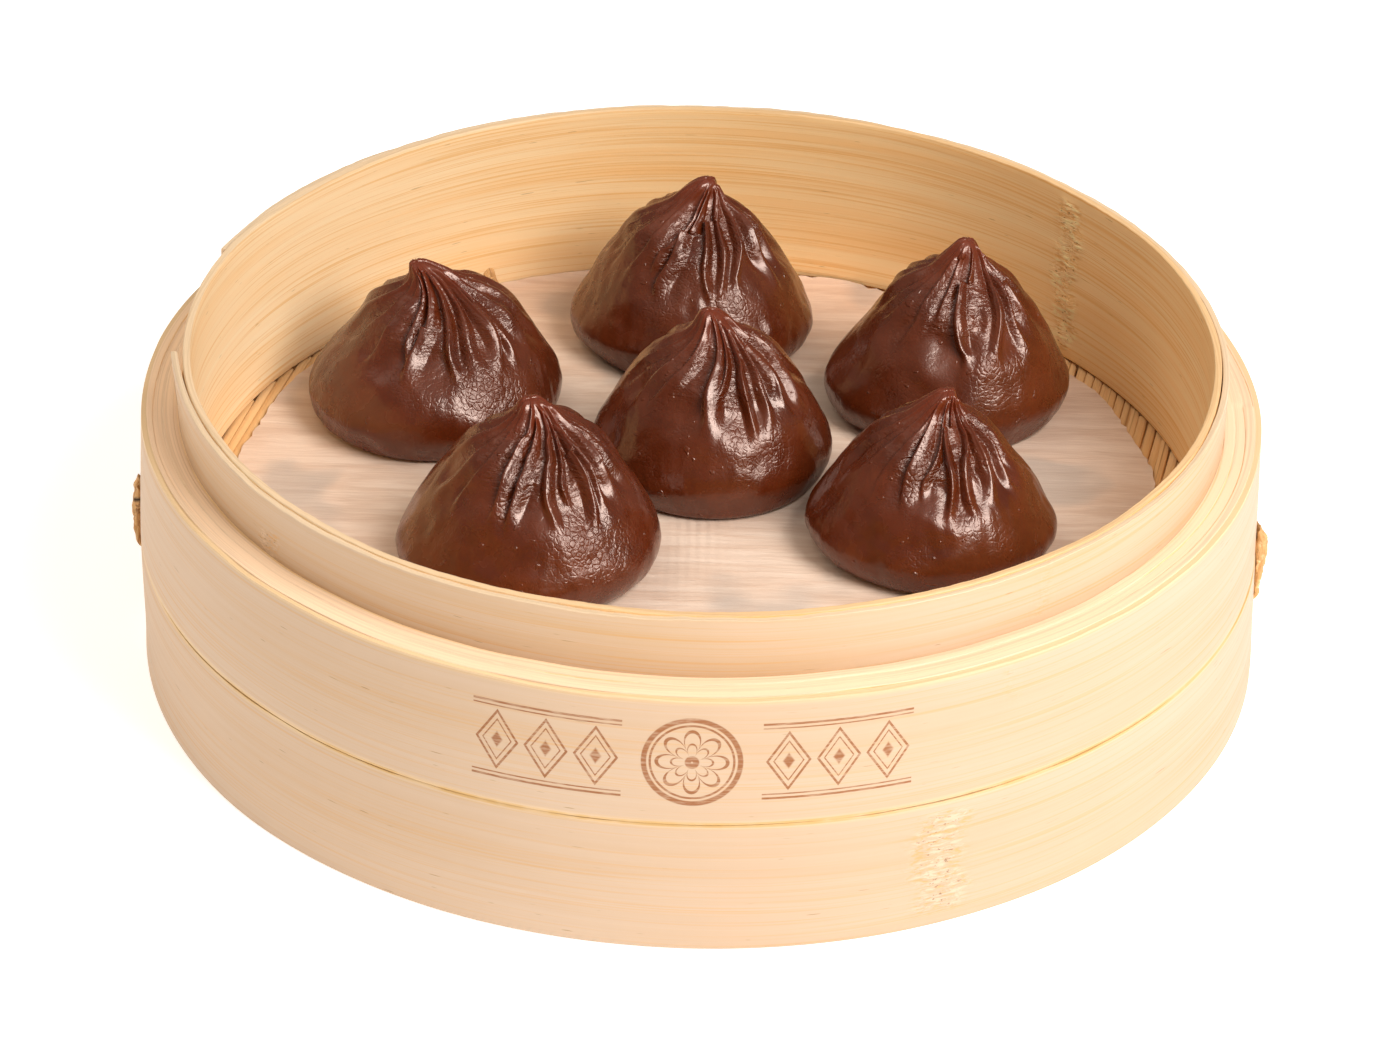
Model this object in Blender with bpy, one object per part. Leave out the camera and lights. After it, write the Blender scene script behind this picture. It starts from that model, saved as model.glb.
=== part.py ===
"""A bamboo steamer basket holding six soup dumplings made of dark cocoa dough.

The basket is a stack of bent-bamboo hoops: an inner hoop and a wrap form the tall thin rim, a thick wound
hoop outside them forms the ledge for the next basket or a lid, and two veneer bands dress the outside. A
slat floor lies between the inner hoop and a support hoop with three battens under it, and three cane
lashings tie it all together. A round paper liner lies on the slats and carries the dumplings. Metres, +Z up,
origin at the bottom centre, front towards -Y.
"""
import math
import random

import bmesh
import bpy

# Driving dimensions of the basket, in metres.
LEDGE_RADIUS = 0.105
BASE_RADIUS = 0.1071
BASKET_HEIGHT = 0.0625
LEDGE_HEIGHT = 0.0504
LEDGE_SLOPE = 0.0006
SEAM_HEIGHT = 0.0254
INNER_RADIUS = 0.0955
LAYER = 0.0014
WRAP_LAYER = 0.0010
BAND = 0.0012
GAP = 0.0003
WRAP_DROP = 0.0003
STACKING_DEPTH = 0.0135
SUPPORT_INNER_RADIUS = 0.0925
SLAT_THICKNESS = 0.0030
SLAT_TOP = 0.0252
HOOP_SEGMENTS = 64

# Battens: flat bars that cross under the slats from side to side, the middle one between two lashings.
BATTEN_PLACES = {"front": -0.0610, "middle": -0.0080, "rear": 0.0450}
BATTEN_WIDTH = 0.0100
BATTEN_THICKNESS = 0.0050
BATTEN_END_RADIUS = 0.0905

# The wrap is cut off square at its visible end and stops short of a full turn.
WRAP_START_DEG = 186.0
WRAP_SWEEP_DEG = 336.0

# Paper liner: pushed against the back of the rim.
PAPER_RADIUS = 0.0888
PAPER_CENTRE = (-0.0006, 0.0050)
PAPER_THICKNESS = 0.0003

# Cane lashings: flat strips that pass through the wall above and below the floor.
LASHING_ANGLES_DEG = {"left": 184.0, "right": 354.0, "back": 118.0}
CANE_WIDTH = 0.0044
CANE_THICKNESS = 0.0009
LASHING_TOP = 0.0318
LASHING_BOTTOM = 0.0180
LASHING_BULGE = 0.0024
SLOT_WIDTH = CANE_WIDTH + 0.0008
SLOT_HEIGHT = CANE_THICKNESS + 0.0008

# Dumplings: place and size of each one, its pleats, and how its top leans along X.
DUMPLINGS = {
    "left_back": {"x": -0.0531, "y": 0.0345, "radius": 0.0247, "height": 0.0322, "pleats": 18,
                  "lean": 0.0029, "tip_shift": -0.0065, "twist_deg": 14.0},
    "left_front": {"x": -0.0316, "y": -0.0220, "radius": 0.0238, "height": 0.0350, "pleats": 18,
                   "lean": 0.0019, "tip_shift": -0.0016, "twist_deg": 10.0},
    "back": {"x": -0.0021, "y": 0.0657, "radius": 0.0240, "height": 0.0360, "pleats": 17,
             "lean": -0.0004, "tip_shift": 0.0018, "twist_deg": 12.0},
    "middle": {"x": 0.0022, "y": 0.0142, "radius": 0.0231, "height": 0.0345, "pleats": 18,
               "lean": 0.0006, "tip_shift": -0.0017, "twist_deg": 9.0},
    "right_front": {"x": 0.0441, "y": -0.0109, "radius": 0.0230, "height": 0.0325, "pleats": 18,
                    "lean": -0.0009, "tip_shift": 0.0026, "twist_deg": 13.0},
    "right_back": {"x": 0.0488, "y": 0.0408, "radius": 0.0231, "height": 0.0368, "pleats": 17,
                   "lean": 0.0015, "tip_shift": 0.0005, "twist_deg": 11.0},
}
# Outline of a dumpling: share of its height, and radius there as a share of its widest radius.
OUTLINE = ((0.0, 0.90), (0.05, 0.965), (0.17, 1.0), (0.32, 0.90), (0.47, 0.785), (0.60, 0.66),
           (0.71, 0.54), (0.79, 0.39), (0.86, 0.235), (0.93, 0.14), (1.0, 0.075))
FOLD_DEPTH = 0.12
FOLD_FADE_START = 0.30
FOLD_FADE_END = 0.62
BELLY_OVAL = 0.02
TIP_SHIFT_POWER = 8

# Colours (linear RGB) and roughness of each material.
FINISHES = {
    "bamboo_rim": ((0.86, 0.62, 0.34), 0.55),
    "bamboo_hoop": ((0.88, 0.68, 0.42), 0.60),
    "bamboo_band": ((0.90, 0.72, 0.48), 0.50),
    "bamboo_slat": ((0.72, 0.44, 0.18), 0.60),
    "steamer_paper": ((0.78, 0.60, 0.44), 0.80),
    "cocoa_dough": ((0.10, 0.028, 0.012), 0.25),
    "cane": ((0.55, 0.32, 0.14), 0.60),
}


def clear_scene():
    """Removes every object, so the script builds the same scene each time."""
    for old in list(bpy.data.objects):
        bpy.data.objects.remove(old, do_unlink=True)


def make_materials():
    """One Principled material for each finish."""
    made = {}
    for name, (colour, roughness) in FINISHES.items():
        material = bpy.data.materials.new(name)
        material.use_nodes = True
        shader = material.node_tree.nodes["Principled BSDF"]
        shader.inputs["Base Color"].default_value = (*colour, 1.0)
        shader.inputs["Roughness"].default_value = roughness
        shader.inputs["Metallic"].default_value = 0.0
        made[name] = material
    return made


def add_object(name, bm, material, smooth_angle_deg=None):
    """Turns a bmesh into a named object whose faces point outwards."""
    bmesh.ops.recalc_face_normals(bm, faces=bm.faces)
    mesh = bpy.data.meshes.new(name)
    bm.to_mesh(mesh)
    bm.free()
    if smooth_angle_deg is not None:
        mesh.shade_smooth()
        mesh.set_sharp_from_angle(angle=math.radians(smooth_angle_deg))
    made = bpy.data.objects.new(name, mesh)
    bpy.context.scene.collection.objects.link(made)
    if material is not None:
        made.data.materials.append(material)
    return made


def outer_radius(height):
    """The outside flares in a straight line from the ledge down to the bottom edge."""
    share = (LEDGE_HEIGHT - height) / LEDGE_HEIGHT
    return LEDGE_RADIUS + (BASE_RADIUS - LEDGE_RADIUS) * share


def hoop(name, outline, material, start_deg=0.0, sweep_deg=360.0):
    """Spins a closed outline of (radius, height) points about Z; a part turn is closed by its two ends."""
    bm = bmesh.new()
    start = math.radians(start_deg)
    corners = [bm.verts.new((r * math.cos(start), r * math.sin(start), z)) for r, z in outline]
    full_turn = sweep_deg >= 360.0
    if full_turn:
        count = len(corners)
        section = [bm.edges.new((corners[i], corners[(i + 1) % count])) for i in range(count)]
    else:
        section = [bm.faces.new(corners)]
    steps = round(HOOP_SEGMENTS * sweep_deg / 360.0)
    bmesh.ops.spin(bm, geom=corners + section, cent=(0, 0, 0), axis=(0, 0, 1),
                   angle=math.radians(sweep_deg), steps=steps, use_merge=full_turn)
    bmesh.ops.remove_doubles(bm, verts=bm.verts, dist=0.00001)
    return add_object(name, bm, material, smooth_angle_deg=35)


def disc(name, radius, top, thickness, material, centre=(0.0, 0.0)):
    """A flat round plate whose upper face is at the given height."""
    bm = bmesh.new()
    bmesh.ops.create_cone(bm, cap_ends=True, segments=HOOP_SEGMENTS, radius1=radius, radius2=radius,
                          depth=thickness)
    bmesh.ops.translate(bm, vec=(centre[0], centre[1], top - thickness / 2), verts=bm.verts)
    return add_object(name, bm, material, smooth_angle_deg=35)


def make_hoops(materials):
    """The six bent-bamboo rings, from the inside out."""
    inner_outside = INNER_RADIUS + LAYER
    wrap_inside = inner_outside + GAP
    wrap_outside = wrap_inside + WRAP_LAYER
    core_inside = wrap_outside + GAP
    above_slats = SLAT_TOP + GAP
    below_slats = SLAT_TOP - SLAT_THICKNESS - GAP
    wrap_top = BASKET_HEIGHT - WRAP_DROP
    return {
        "rim_inner_hoop": hoop("rim_inner_hoop", [
            (INNER_RADIUS, above_slats), (inner_outside, above_slats),
            (inner_outside, BASKET_HEIGHT), (INNER_RADIUS, BASKET_HEIGHT),
        ], materials["bamboo_rim"]),
        "rim_wrap": hoop("rim_wrap", [
            (wrap_inside, above_slats), (wrap_outside, above_slats),
            (wrap_outside, wrap_top), (wrap_inside, wrap_top),
        ], materials["bamboo_rim"], WRAP_START_DEG, WRAP_SWEEP_DEG),
        "ledge_hoop": hoop("ledge_hoop", [
            (core_inside, 0.0), (outer_radius(0.0) - BAND - GAP, 0.0),
            (outer_radius(LEDGE_HEIGHT) - BAND - GAP, LEDGE_HEIGHT),
            (core_inside, LEDGE_HEIGHT + LEDGE_SLOPE),
        ], materials["bamboo_hoop"]),
        "upper_band": hoop("upper_band", [
            (outer_radius(SEAM_HEIGHT) - BAND, SEAM_HEIGHT + GAP), (outer_radius(SEAM_HEIGHT), SEAM_HEIGHT + GAP),
            (outer_radius(LEDGE_HEIGHT), LEDGE_HEIGHT), (outer_radius(LEDGE_HEIGHT) - BAND, LEDGE_HEIGHT),
        ], materials["bamboo_band"]),
        "lower_band": hoop("lower_band", [
            (outer_radius(0.0) - BAND, 0.0), (outer_radius(0.0), 0.0),
            (outer_radius(SEAM_HEIGHT), SEAM_HEIGHT), (outer_radius(SEAM_HEIGHT) - BAND, SEAM_HEIGHT),
        ], materials["bamboo_band"]),
        "support_hoop": hoop("support_hoop", [
            (SUPPORT_INNER_RADIUS, STACKING_DEPTH), (wrap_outside, STACKING_DEPTH),
            (wrap_outside, below_slats), (SUPPORT_INNER_RADIUS, below_slats),
        ], materials["bamboo_hoop"]),
    }


def box_cutter(name, angle_deg, inside, outside, bottom, top):
    """A box that points out along a radius, used to cut the slots for a lashing."""
    bm = bmesh.new()
    bmesh.ops.create_cube(bm, size=1.0)
    bmesh.ops.scale(bm, vec=(outside - inside, SLOT_WIDTH, top - bottom), verts=bm.verts)
    bmesh.ops.translate(bm, vec=((inside + outside) / 2, 0.0, (bottom + top) / 2), verts=bm.verts)
    cutter = add_object(name, bm, None)
    cutter.rotation_euler = (0.0, 0.0, math.radians(angle_deg))
    cutter.hide_render = True
    cutter.display_type = "WIRE"
    return cutter


def cut(target, cutter):
    """Takes the cutter out of the target with an exact Boolean."""
    modifier = target.modifiers.new(cutter.name, "BOOLEAN")
    modifier.operation = "DIFFERENCE"
    modifier.solver = "EXACT"
    modifier.object = cutter


def lashing_path():
    """The lashing's closed middle line as (radius, height) points: a bulge outside, a leg in through the
    wall above the floor, down the inner face, and back out through the wall below the floor."""
    middle = (LASHING_TOP + LASHING_BOTTOM) / 2
    half = (LASHING_TOP - LASHING_BOTTOM) / 2
    surface = outer_radius(middle) + GAP + CANE_THICKNESS / 2
    steps = 6
    turns = [math.pi / 2 - math.pi * i / steps for i in range(steps + 1)]
    bulge = [(surface + LASHING_BULGE * math.cos(a), middle + half * math.sin(a)) for a in turns]
    inner_face = INNER_RADIUS - GAP - CANE_THICKNESS / 2
    below_face = SUPPORT_INNER_RADIUS - GAP - CANE_THICKNESS / 2
    slat_bottom = SLAT_TOP - SLAT_THICKNESS
    inside = [(below_face, LASHING_BOTTOM), (below_face, slat_bottom + GAP),
              (inner_face, SLAT_TOP - GAP), (inner_face, LASHING_TOP)]
    return bulge + inside


def make_lashing(name, angle_deg, material):
    """Carries a flat cane section round the lashing's path, mitred at each corner."""
    path = lashing_path()
    count = len(path)
    turn = math.radians(angle_deg)
    bm = bmesh.new()
    rings = []
    for i, (r, z) in enumerate(path):
        before = path[i - 1]
        after = path[(i + 1) % count]
        first = (r - before[0], z - before[1])
        second = (after[0] - r, after[1] - z)
        first_length = math.hypot(*first)
        second_length = math.hypot(*second)
        normal = (first[1] / first_length + second[1] / second_length,
                  -first[0] / first_length - second[0] / second_length)
        size = math.hypot(*normal)
        mitre = CANE_THICKNESS / 2 / (size / 2)
        step = (normal[0] / size * mitre, normal[1] / size * mitre)
        ring = []
        for across, side in ((-1, -1), (1, -1), (1, 1), (-1, 1)):
            radius = r + step[0] * across
            offset = side * CANE_WIDTH / 2
            x = radius * math.cos(turn) - offset * math.sin(turn)
            y = radius * math.sin(turn) + offset * math.cos(turn)
            ring.append(bm.verts.new((x, y, z + step[1] * across)))
        rings.append(ring)
    for i in range(count):
        here = rings[i]
        there = rings[(i + 1) % count]
        for k in range(4):
            bm.faces.new((here[k], here[(k + 1) % 4], there[(k + 1) % 4], there[k]))
    return add_object(name, bm, material, smooth_angle_deg=50)


def make_batten(name, place_y, material):
    """A straight bar under the slats, as long as the space inside the support hoop allows."""
    reach = math.sqrt(BATTEN_END_RADIUS ** 2 - (abs(place_y) + BATTEN_WIDTH / 2) ** 2)
    top = SLAT_TOP - SLAT_THICKNESS - GAP
    bm = bmesh.new()
    bmesh.ops.create_cube(bm, size=1.0)
    bmesh.ops.scale(bm, vec=(2 * reach, BATTEN_WIDTH, BATTEN_THICKNESS), verts=bm.verts)
    bmesh.ops.translate(bm, vec=(0.0, place_y, top - BATTEN_THICKNESS / 2), verts=bm.verts)
    return add_object(name, bm, material)


def smooth_step(value, low, high):
    """Rises smoothly from 0 at low to 1 at high."""
    share = min(max((value - low) / (high - low), 0.0), 1.0)
    return share * share * (3.0 - 2.0 * share)


def make_dumpling(name, size, base_height, seed, material):
    """A pleated dome: rings of points follow the outline upwards, and every second point is drawn in to
    make the valley between two pleats. Pleats fade out into the smooth belly and twist towards the tip."""
    chance = random.Random(seed)
    pleats = size["pleats"]
    spacing = 2.0 * math.pi / pleats
    shift = [chance.uniform(-0.14, 0.14) * spacing for _ in range(2 * pleats)]
    depth = [FOLD_DEPTH * chance.uniform(0.7, 1.2) for _ in range(pleats)]
    oval_turn = chance.uniform(0.0, math.pi)
    bm = bmesh.new()
    rings = []
    for level, radius_share in OUTLINE:
        folding = smooth_step(level, FOLD_FADE_START, FOLD_FADE_END)
        twist = math.radians(size["twist_deg"]) * folding
        centre_x = size["x"] + size["lean"] * level + size["tip_shift"] * level ** TIP_SHIFT_POWER
        ring = []
        for k in range(2 * pleats):
            angle = k * spacing / 2.0 + shift[k] + twist
            radius = size["radius"] * radius_share
            radius *= 1.0 + BELLY_OVAL * math.cos(2.0 * (angle - oval_turn)) * (1.0 - folding)
            if k % 2:
                radius *= 1.0 - depth[k // 2] * folding
            ring.append(bm.verts.new((centre_x + radius * math.cos(angle),
                                      size["y"] + radius * math.sin(angle),
                                      base_height + size["height"] * level)))
        rings.append(ring)
    for lower, upper in zip(rings, rings[1:]):
        for k in range(2 * pleats):
            after = (k + 1) % (2 * pleats)
            bm.faces.new((lower[k], lower[after], upper[after], upper[k]))
    bm.faces.new(rings[0])
    bm.faces.new(rings[-1])
    return add_object(name, bm, material, smooth_angle_deg=60)


def build():
    """Makes the basket, the liner, the lashings and the dumplings."""
    clear_scene()
    materials = make_materials()
    hoops = make_hoops(materials)
    floor_radius = INNER_RADIUS + LAYER + GAP + WRAP_LAYER
    floor = disc("slat_floor", floor_radius, SLAT_TOP, SLAT_THICKNESS, materials["bamboo_slat"])
    for place, place_y in BATTEN_PLACES.items():
        make_batten("batten_" + place, place_y, materials["bamboo_slat"])
    paper_top = SLAT_TOP + GAP + PAPER_THICKNESS
    disc("paper_liner", PAPER_RADIUS, paper_top, PAPER_THICKNESS, materials["steamer_paper"], PAPER_CENTRE)
    for place, angle in LASHING_ANGLES_DEG.items():
        make_lashing("lashing_" + place, angle, materials["cane"])
        upper = box_cutter("slot_above_" + place, angle, INNER_RADIUS - 0.002, BASE_RADIUS + 0.002,
                           LASHING_TOP - SLOT_HEIGHT / 2, LASHING_TOP + SLOT_HEIGHT / 2)
        lower = box_cutter("slot_below_" + place, angle, SUPPORT_INNER_RADIUS - 0.002, BASE_RADIUS + 0.002,
                           LASHING_BOTTOM - SLOT_HEIGHT / 2, LASHING_BOTTOM + SLOT_HEIGHT / 2)
        notch = box_cutter("notch_" + place, angle, SUPPORT_INNER_RADIUS - 0.0022, INNER_RADIUS + 0.0004,
                           SLAT_TOP - SLAT_THICKNESS - 0.001, SLAT_TOP + 0.001)
        for name in ("rim_inner_hoop", "rim_wrap", "ledge_hoop", "upper_band"):
            cut(hoops[name], upper)
        for name in ("support_hoop", "ledge_hoop", "lower_band"):
            cut(hoops[name], lower)
        cut(floor, notch)
    for seed, (place, size) in enumerate(DUMPLINGS.items()):
        make_dumpling("dumpling_" + place, size, paper_top + GAP, seed, materials["cocoa_dough"])


build()
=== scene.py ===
# %% [markdown]
# # Six cocoa soup dumplings in a bamboo steamer
#
# A bamboo steamer is a stack of thin bamboo strips bent into rings. A tall thin rim stands inside a thick
# wound ring, and the wound ring makes the ledge that carries the next basket. Splints laid side by side
# make the floor, and loops of cane tie it to the wall. On a round of thin paper sit six dumplings whose
# dough is dark with cocoa.
#
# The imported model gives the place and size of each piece. This script dresses it: each plain solid is
# replaced by a surface worked out with numpy, and each surface gets a finish made of nodes.

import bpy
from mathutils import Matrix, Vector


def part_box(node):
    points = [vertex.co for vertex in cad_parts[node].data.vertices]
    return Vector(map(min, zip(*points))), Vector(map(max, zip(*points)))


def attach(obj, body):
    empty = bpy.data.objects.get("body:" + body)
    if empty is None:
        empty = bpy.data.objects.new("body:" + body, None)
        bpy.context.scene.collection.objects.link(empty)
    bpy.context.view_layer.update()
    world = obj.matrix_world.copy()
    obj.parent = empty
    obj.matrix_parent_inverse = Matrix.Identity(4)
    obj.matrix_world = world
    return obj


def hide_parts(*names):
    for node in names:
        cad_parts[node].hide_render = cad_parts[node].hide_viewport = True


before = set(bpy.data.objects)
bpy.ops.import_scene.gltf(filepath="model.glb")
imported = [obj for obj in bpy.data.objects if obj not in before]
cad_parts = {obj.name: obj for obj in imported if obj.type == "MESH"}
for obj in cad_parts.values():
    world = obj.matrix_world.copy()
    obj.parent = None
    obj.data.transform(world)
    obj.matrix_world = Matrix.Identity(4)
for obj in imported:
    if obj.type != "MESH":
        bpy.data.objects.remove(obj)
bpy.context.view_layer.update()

# %% Tools and units
import math

import bpy
import numpy as np
from mathutils import Matrix, Vector

MM = 0.001
TURN = 2 * math.pi
BODY = "root"

# %% [markdown]
# ## Camera and light
#
# The basket is seen from the front and a good way above, through a long lens, so its circles stay nearly
# true ellipses. The key light at the front right gives the wet dough its broad highlights and leaves the
# inside of the right wall in shade. A weak wide light hangs overhead, and a small kicker adds a glint at
# the left. Gloss doesn't mirror the warm fill at the left, which would turn the dark dough milky. The low
# sheen is seen in gloss alone, and draws each highlight further down the belly.

# %% Camera
LENS_MM = 118.765
SENSOR_MM = 36
LOOK_DOWN_DEG = 31.435
CAMERA_ROLL_DEG = 1.51
CAMERA_PLACE = Vector((0.0003, -0.7553, 0.4827))


def aim_camera():
    """The camera looks along +Y tipped down by LOOK_DOWN_DEG, then turned about its own view line."""
    data = bpy.data.cameras.new("camera")
    data.sensor_width = SENSOR_MM
    data.lens = LENS_MM
    data.clip_start = 0.01
    camera = bpy.data.objects.new("camera", data)
    bpy.context.scene.collection.objects.link(camera)
    tip = Matrix.Rotation(math.radians(90 - LOOK_DOWN_DEG), 4, "X")
    roll = Matrix.Rotation(math.radians(CAMERA_ROLL_DEG), 4, "Z")
    camera.matrix_world = Matrix.Translation(CAMERA_PLACE) @ tip @ roll
    bpy.context.scene.camera = camera
    print("camera distance:", round(CAMERA_PLACE.length, 3), "m")


aim_camera()

# %% Lights and room
AIM = Vector((0, 0, 0.035))


def add_softbox(name, turn_deg, rise_deg, distance, size, power, colour, on_gloss=True, on_matt=True):
    """A rectangular light at an angle round the basket and a rise above the table, facing the basket."""
    data = bpy.data.lights.new(name, "AREA")
    data.shape = "RECTANGLE"
    data.size, data.size_y = size
    data.energy = power
    data.color = colour
    light = bpy.data.objects.new(name, data)
    turn, rise = math.radians(turn_deg), math.radians(rise_deg)
    out = Vector((math.cos(turn) * math.cos(rise), math.sin(turn) * math.cos(rise), math.sin(rise)))
    light.location = AIM + out * distance
    light.rotation_euler = out.to_track_quat("Z", "Y").to_euler()
    light.visible_glossy = on_gloss
    light.visible_diffuse = on_matt
    bpy.context.scene.collection.objects.link(light)


add_softbox("key_light", -41, 44, 0.95, (0.46, 0.52), 10.4, (1, 0.955, 0.92))
add_softbox("top_light", -50, 83, 1.3, (1.4, 1.4), 2.4, (1, 1, 1))
add_softbox("left_fill", 162, 44, 1.1, (1.7, 1.2), 7.7, (1, 0.87, 0.72), on_gloss=False)
add_softbox("low_sheen", -38, 27, 0.95, (0.46, 0.36), 3.8, (1, 0.92, 0.87), on_matt=False)
add_softbox("left_kicker", 163, 51, 1.1, (0.24, 0.24), 0.22, (1, 0.9, 0.8))

world = bpy.data.worlds.new("pale_room")
bpy.context.scene.world = world
world.use_nodes = True
glow = world.node_tree.nodes["Background"].inputs
glow["Color"].default_value = (1, 0.95, 0.89, 1)
glow["Strength"].default_value = 0.22
bpy.context.scene.view_settings.view_transform = "Standard"
print("lights:", len(bpy.data.lights))

# %% [markdown]
# ## Working with grids
#
# Every new piece is a grid of points. Rows follow a path, round the basket or up a dumpling, and columns
# go round a closed section. One function skins such a grid, closes its ends, and turns its faces outwards.
# Unevenness comes from a mean of cosine waves with seeded directions, because it is smooth, cheap and the
# same on every run.

# %% Grid helpers


def all_round(count):
    """So many directions round a full turn, evenly spaced."""
    return np.linspace(0, TURN, count, endpoint=False)


def ease(value, low, high):
    """Rises from 0 at low to 1 at high as 3s^2 - 2s^3 of the share s between them."""
    share = np.clip((value - low) / (high - low), 0, 1)
    return share * share * (3 - 2 * share)


def waves(places, size, seed, count=22):
    """Adds up cosine waves in seeded directions, each about `size` long, scaled to a spread of about 1."""
    chance = np.random.default_rng(seed)
    directions = chance.normal(size=(3, count))
    directions /= np.linalg.norm(directions, axis=0)
    lengths = size * chance.uniform(0.65, 1.6, count)
    phases = chance.uniform(0, TURN, count)
    return np.cos(places @ (directions * TURN / lengths) + phases).sum(-1) * math.sqrt(2 / count)


def smooth_curve(knots, count):
    """A cubic through the knots, its slopes the centred differences, in steps of equal length."""
    knots = np.asarray(knots, float)
    chord = np.concatenate([[0], np.cumsum(np.linalg.norm(np.diff(knots, axis=0), axis=1))])
    slopes = np.gradient(knots, chord, axis=0)
    fine = np.linspace(0, chord[-1], 24 * len(knots))
    i = np.clip(np.searchsorted(chord, fine, side="right") - 1, 0, len(knots) - 2)
    span = (chord[i + 1] - chord[i])[:, None]
    s = ((fine - chord[i]) / span[:, 0])[:, None]
    curve = ((1 + 2 * s) * (1 - s) ** 2 * knots[i] + s * (1 - s) ** 2 * span * slopes[i]
             + s * s * (3 - 2 * s) * knots[i + 1] + s * s * (s - 1) * span * slopes[i + 1])
    walked = np.concatenate([[0], np.cumsum(np.linalg.norm(np.diff(curve, axis=0), axis=1))])
    even = np.linspace(0, walked[-1], count)
    return np.stack([np.interp(even, walked, curve[:, k]) for k in range(knots.shape[1])], axis=-1)


def skin_faces(rows, columns, closed_path):
    """Corner numbers of the quads of a grid whose columns wrap, and of the fans that close its ends."""
    i = np.arange(rows if closed_path else rows - 1)[:, None]
    j = np.arange(columns)
    after_i, after_j = (i + 1) % rows, (j + 1) % columns
    quads = np.stack([i * columns + j, i * columns + after_j,
                      after_i * columns + after_j, after_i * columns + j], axis=-1).reshape(-1, 4)
    if closed_path:
        return quads, np.zeros((0, 3), int)
    first, last, top = rows * columns, rows * columns + 1, (rows - 1) * columns
    starts = np.stack([np.full(columns, first), after_j, j], axis=-1)
    ends = np.stack([np.full(columns, last), top + j, top + after_j], axis=-1)
    return quads, np.concatenate([starts, ends])


def solid_volume(points, quads, fans):
    """A sixth of the sum of the triple products of all triangles: negative if the skin is inside out."""
    triangles = np.concatenate([quads[:, [0, 1, 2]], quads[:, [0, 2, 3]], fans])
    a, b, c = points[triangles[:, 0]], points[triangles[:, 1]], points[triangles[:, 2]]
    return float(np.einsum("ij,ij->i", a, np.cross(b, c)).sum() / 6)


def skin(name, grid, closed_path, values, sharp_deg):
    """Makes a mesh object from grid[row, column], whose columns wrap. An open path gets a fan to the middle
    of each end. Each array of values is stored on the points under its name."""
    rows, columns = grid.shape[:2]
    quads, fans = skin_faces(rows, columns, closed_path)
    flat = {}
    for key, array in {"": grid, **values}.items():
        ends = [] if closed_path else [array[0].mean(axis=0)[None], array[-1].mean(axis=0)[None]]
        flat[key] = np.concatenate([array.reshape(rows * columns, *array.shape[2:]), *ends])
    points = flat.pop("")
    if solid_volume(points, quads, fans) < 0:
        quads, fans = quads[:, ::-1], fans[:, ::-1]
    corners = np.concatenate([quads.ravel(), fans.ravel()])
    starts = np.concatenate([np.arange(len(quads)) * 4, len(quads) * 4 + np.arange(len(fans)) * 3])
    mesh = bpy.data.meshes.new(name)
    mesh.vertices.add(len(points))
    mesh.vertices.foreach_set("co", points.astype(np.float32).ravel())
    mesh.loops.add(len(corners))
    mesh.loops.foreach_set("vertex_index", corners.astype(np.int32))
    mesh.polygons.add(len(starts))
    mesh.polygons.foreach_set("loop_start", starts.astype(np.int32))
    mesh.update(calc_edges=True)
    mesh.validate()
    for key, array in flat.items():
        kind, field = ("FLOAT", "value") if array.ndim == 1 else ("FLOAT_VECTOR", "vector")
        stored = mesh.attributes.new(key, kind, "POINT")
        stored.data.foreach_set(field, array.astype(np.float32).ravel())
    mesh.shade_smooth()
    if sharp_deg is not None:
        mesh.set_sharp_from_angle(angle=math.radians(sharp_deg))
    made = bpy.data.objects.new(name, mesh)
    bpy.context.scene.collection.objects.link(made)
    print(f"{name}: {len(points)} points, {2 * len(quads) + len(fans)} triangles")
    return made


def place(piece, material, node):
    """Gives a piece its finish, lets it ride on the basket, and hides the solid it stands for."""
    piece.data.materials.clear()
    piece.data.materials.append(material)
    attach(piece, BODY)
    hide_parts(node)


def join(name, pieces):
    """Joins mesh objects into one."""
    with bpy.context.temp_override(active_object=pieces[0], selected_editable_objects=pieces):
        bpy.ops.object.join()
    pieces[0].name = name
    pieces[0].data.name = name
    return pieces[0]


# %% [markdown]
# ## Writing a finish as nodes
#
# A finish is a small recipe: stretched noise for grain, cell patterns for cracked dough, colours picked
# along a ramp. `Recipe` adds one node per call and gives back its output, so each recipe reads from top
# to bottom. Numbers that are the same all over a surface are set on the shader itself.

# %% Node recipe helper


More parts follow.
